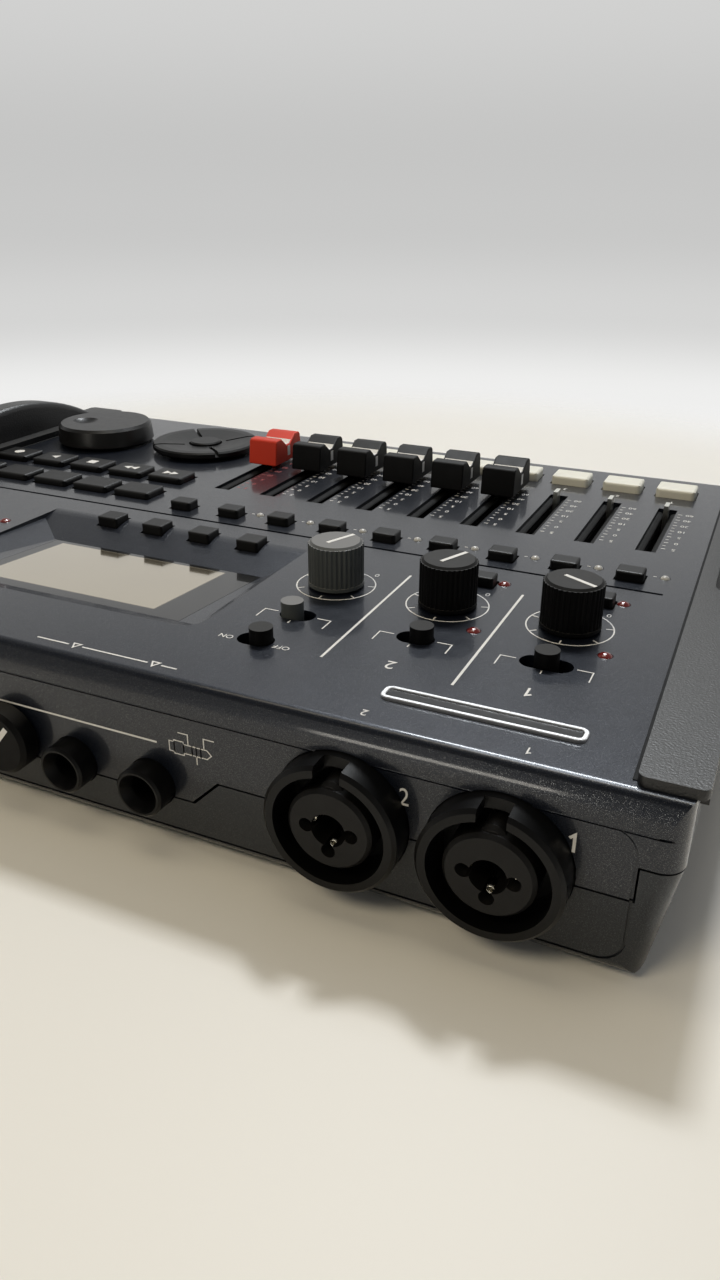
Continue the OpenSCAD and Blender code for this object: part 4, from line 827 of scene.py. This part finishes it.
def plate_loop(inset, height):
    """Outline of the plate with round corners, set in by that much."""
    half_x, half_y, radius = (size - inset for size in (*PLATE_HALF, PLATE_CORNER))
    points = []
    for way_x, way_y, first in ((1, 1, 0), (-1, 1, 90), (-1, -1, 180), (1, -1, 270)):
        for i in range(CORNER_STEPS + 1):
            a = math.radians(first + 90 * i / CORNER_STEPS)
            points.append((PLATE_AT[0] + way_x * (half_x - radius) + radius * math.cos(a),
                           PLATE_AT[1] + way_y * (half_y - radius) + radius * math.sin(a),
                           TOP + PLATE_GAP + height))
    return points


def blank_plate():
    """Plain bare plate: a bright rim round a dark face."""
    rim = swept([plate_loop(inset, height) for inset, height in PLATE_RIM], closed=True)
    add_fixed("plate_rim", [rim], BRIGHT)
    face = swept([plate_loop(inset, height) for inset, height in PLATE_FACE])
    add_fixed("plate_face", [face], DIAL)


def rail_shade_strips():
    """Thin dark strip along the inner side of each rail: painted shade for the gap between the rail
    and the panel.
    """
    strips = []
    for name, side in zip(RAILS, (-1, 1)):
        front, rear = low(name), high(name)
        outer = max(abs(front.x), abs(rear.x))
        ends = ((front.y + SHADE_STRIP_END, rear.x - front.x), (rear.y - SHADE_STRIP_END, RAIL_REAR_WIDE))
        strips.append(swept([[(side * (outer - wide - u), y, TOP + v) for u, v in SHADE_STRIP]
                             for y, wide in ends]))
    add_fixed("rail_shade_strips", strips, FELT)


def lip_bead():
    """Painted bead in the line under the rolled edge, which leaves a shallow crease."""
    foot = TOP - CREASE_DROP
    ends = (low("top_case").x + BEAD_END, high("top_case").x - BEAD_END)
    bead = swept([[(x, REAR + v, foot + w) for v, w in BEAD] for x in ends])
    add_fixed("lip_bead", [bead], PAINT)


def jack_contacts():
    """Plated pin sockets in the three holes of each combination jack."""
    floor = low("combo_jack_inserts").y + PIN_FLOOR
    upright = Matrix.Rotation(math.radians(-90), 4, "X")
    sockets = []
    for x in COMBO_X:
        for turn in PIN_TURNS:
            a = math.radians(turn)
            place = (x + PIN_REACH * math.cos(a), floor, COMBO_Z + PIN_REACH * math.sin(a))
            socket = turned(PIN_PROFILE, PIN_STEPS)
            socket.transform(Matrix.Translation(place) @ upright)
            sockets.append(socket)
    add_fixed("jack_contacts", sockets, CONTACT, smooth=True)


# Softened copies of CAD nodes; the weld is in metres

SOFT_WELD = 1e-6
SOFT_FLAT = math.radians(0.4)
SOFT_HARD = math.radians(40)
SOFT_STEPS = 3
SOFT_CAP = 0.45
SOFT_RAIL = 0.5


def softened(node, body, width):
    """Copy of a CAD node with its hard edges rounded, which stands for the node."""
    shape = bmesh.new()
    shape.from_mesh(nodes[node].data)
    bmesh.ops.remove_doubles(shape, verts=shape.verts, dist=SOFT_WELD)
    bmesh.ops.dissolve_limit(shape, angle_limit=SOFT_FLAT, verts=shape.verts, edges=shape.edges)
    folds = [e for e in shape.edges if len(e.link_faces) == 2]
    hard = [e for e in folds if e.calc_face_angle() > SOFT_HARD]
    bmesh.ops.bevel(shape, geom=hard, offset=width * MM, offset_type="OFFSET", segments=SOFT_STEPS,
                    profile=0.5, affect="EDGES", clamp_overlap=True)
    for face in shape.faces:
        face.smooth = True
    piece = add_piece(node + "_soft", mesh_of(shape, node + "_soft"), finish_of(node), body)
    piece.modifiers.new("normals", "WEIGHTED_NORMAL")
    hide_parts(node)


panel_prints()
rear_prints()
knob_pointers()
cap_marks()
key_icons()
slot_lips()
blank_plate()
rail_shade_strips()
lip_bead()
jack_contacts()
for name in CAPPED_FADERS:
    softened(name, name + "_body", SOFT_CAP)
for name in RAILS:
    softened(name, "chassis", SOFT_RAIL)


# Stage: floor, backdrop, lamps and camera, in metres

FLOOR_FADE = (0.27, 0.40)
FLOOR_ROWS = 24
FLOOR_TONES = ((0.82, 0.81, 0.775, 1.0), (0.84, 0.83, 0.795, 1.0))
FLOOR_ROUGH = 0.55
FLOOR_LUMP = 240.0
FLOOR_GRAIN = 3.0
FLOOR_DEPTH = 0.02

# Level of the backdrop at each height of the direction, from straight down to straight up
BACKDROP = ((-1.0, 0.93), (-0.24, 0.93), (-0.19, 0.86), (-0.12, 0.66), (-0.04, 0.575), (0.02, 0.56),
            (0.15, 0.64), (0.32, 0.60), (0.50, 0.37), (0.75, 0.20), (1.0, 0.22))
ROOM_FADE = (-0.35, 0.55)
FAR_TINT = (1.0, 1.0, 0.99, 1.0)
ROOM_TINT = (0.36, 0.35, 0.33, 1.0)

CAMERA_AT = Vector((-0.1308, 0.2183, 0.1240))
CAMERA_TARGET = Vector((-0.0564, 0.0567, 0.0380))
CAMERA_ROLL = math.radians(0.17)
CAMERA_SENSOR = 36.0
CAMERA_LENS = 27.06
CAMERA_NEAR = 0.01


def build_floor():
    """Pale table top that fades into the backdrop."""
    shader = Shader("studio_floor", Roughness=FLOOR_ROUGH)
    shader.drive("Base Color", shader.mix(shader.noise(FLOOR_LUMP), *FLOOR_TONES))
    reach = shader.add("ShaderNodeVectorMath", {0: shader.coords}, operation="LENGTH")
    fade = shader.remap(reach.outputs["Value"], 1.0, 0.0, *FLOOR_FADE, curve="SMOOTHSTEP")
    shader.drive("Alpha", fade)
    shader.bump(shader.noise(FLOOR_GRAIN, 3.0), FLOOR_DEPTH)
    shape = bmesh.new()
    bmesh.ops.create_grid(shape, x_segments=FLOOR_ROWS, y_segments=FLOOR_ROWS, size=FLOOR_FADE[1])
    floor = bpy.data.objects.new("floor", mesh_of(shape, "floor"))
    bpy.context.scene.collection.objects.link(floor)
    floor.data.materials.append(shader.material)


def build_world():
    """Pale backdrop beyond the object, a dimmer and warmer room on the jack side."""
    world = bpy.data.worlds.new("studio")
    world.use_nodes = True
    bpy.context.scene.world = world
    sky = Nodes(world.node_tree)
    direction = sky.axes(sky.add("ShaderNodeTexCoord").outputs["Generated"])
    ramp = sky.add("ShaderNodeValToRGB", {"Fac": sky.remap(direction["Z"], 0.0, 1.0, -1.0, 1.0)})
    ramp.color_ramp.interpolation = "EASE"
    stops = ramp.color_ramp.elements
    while len(stops) < len(BACKDROP):
        stops.new(0.5)
    for stop, (height, level) in zip(stops, BACKDROP):
        stop.position = (height + 1) / 2
        stop.color = grey(level)
    facing = sky.remap(direction["Y"], 0.0, 1.0, *ROOM_FADE, curve="SMOOTHSTEP")
    tint = sky.mix(facing, FAR_TINT, ROOM_TINT)
    color = sky.mix(1.0, ramp.outputs["Color"], tint, blend="MULTIPLY")
    sky.feed(world.node_tree.nodes["Background"].inputs["Color"], color)


def add_lamp(name, place, size, power, color, shines=True, mirrored=True):
    """Soft rectangular lamp that looks at the object; it may only shine or only be mirrored."""
    light = bpy.data.lights.new(name, "AREA")
    light.shape = "RECTANGLE"
    light.size, light.size_y = size
    light.energy = power
    light.color = color
    lamp = bpy.data.objects.new(name, light)
    out = Vector(place).normalized()
    along = (Vector((1, 0, 0)) - out * out.x).normalized()
    aim = Matrix((along, out.cross(along), out)).transposed().to_4x4()
    lamp.matrix_world = Matrix.Translation(place) @ aim
    lamp.visible_diffuse = shines
    lamp.visible_glossy = mirrored
    bpy.context.scene.collection.objects.link(lamp)


def build_lamps():
    add_lamp("key_lamp", place=(0.01, -0.53, 1.0), size=(0.15, 0.12), power=6.6,
             color=(0.98, 0.99, 1.0), mirrored=False)
    add_lamp("strip_lamp", place=(0.08, -0.56, 1.0), size=(0.46, 0.20), power=10.5,
             color=(0.93, 0.97, 1.0), shines=False)
    add_lamp("sky_lamp", place=(0.06, -0.18, 1.2), size=(0.34, 0.50), power=3.2,
             color=(0.90, 0.95, 1.0), shines=False)
    add_lamp("warm_lamp", place=(0.20, 0.06, 1.25), size=(0.9, 0.30), power=1.7,
             color=(1.0, 0.86, 0.60))
    add_lamp("fill_lamp", place=(0.25, 0.75, 0.85), size=(0.5, 0.30), power=3.9,
             color=(1.0, 0.86, 0.62), mirrored=False)
    add_lamp("low_lamp", place=(0.30, 1.40, 0.01), size=(0.40, 0.12), power=1.4,
             color=(1.0, 0.95, 0.85), shines=False)


def build_camera():
    """Behind the jacks at the user's left, low over the rear edge."""
    lens = bpy.data.cameras.new("camera")
    lens.sensor_width = CAMERA_SENSOR
    lens.lens = CAMERA_LENS
    lens.clip_start = CAMERA_NEAR
    camera = bpy.data.objects.new("camera", lens)
    aim = (CAMERA_TARGET - CAMERA_AT).to_track_quat("-Z", "Y").to_matrix().to_4x4()
    roll = Matrix.Rotation(CAMERA_ROLL, 4, "Z")
    camera.matrix_world = Matrix.Translation(CAMERA_AT) @ aim @ roll
    bpy.context.scene.collection.objects.link(camera)
    bpy.context.scene.camera = camera


build_floor()
build_world()
build_lamps()
build_camera()
bpy.context.scene.view_settings.view_transform = "Standard"
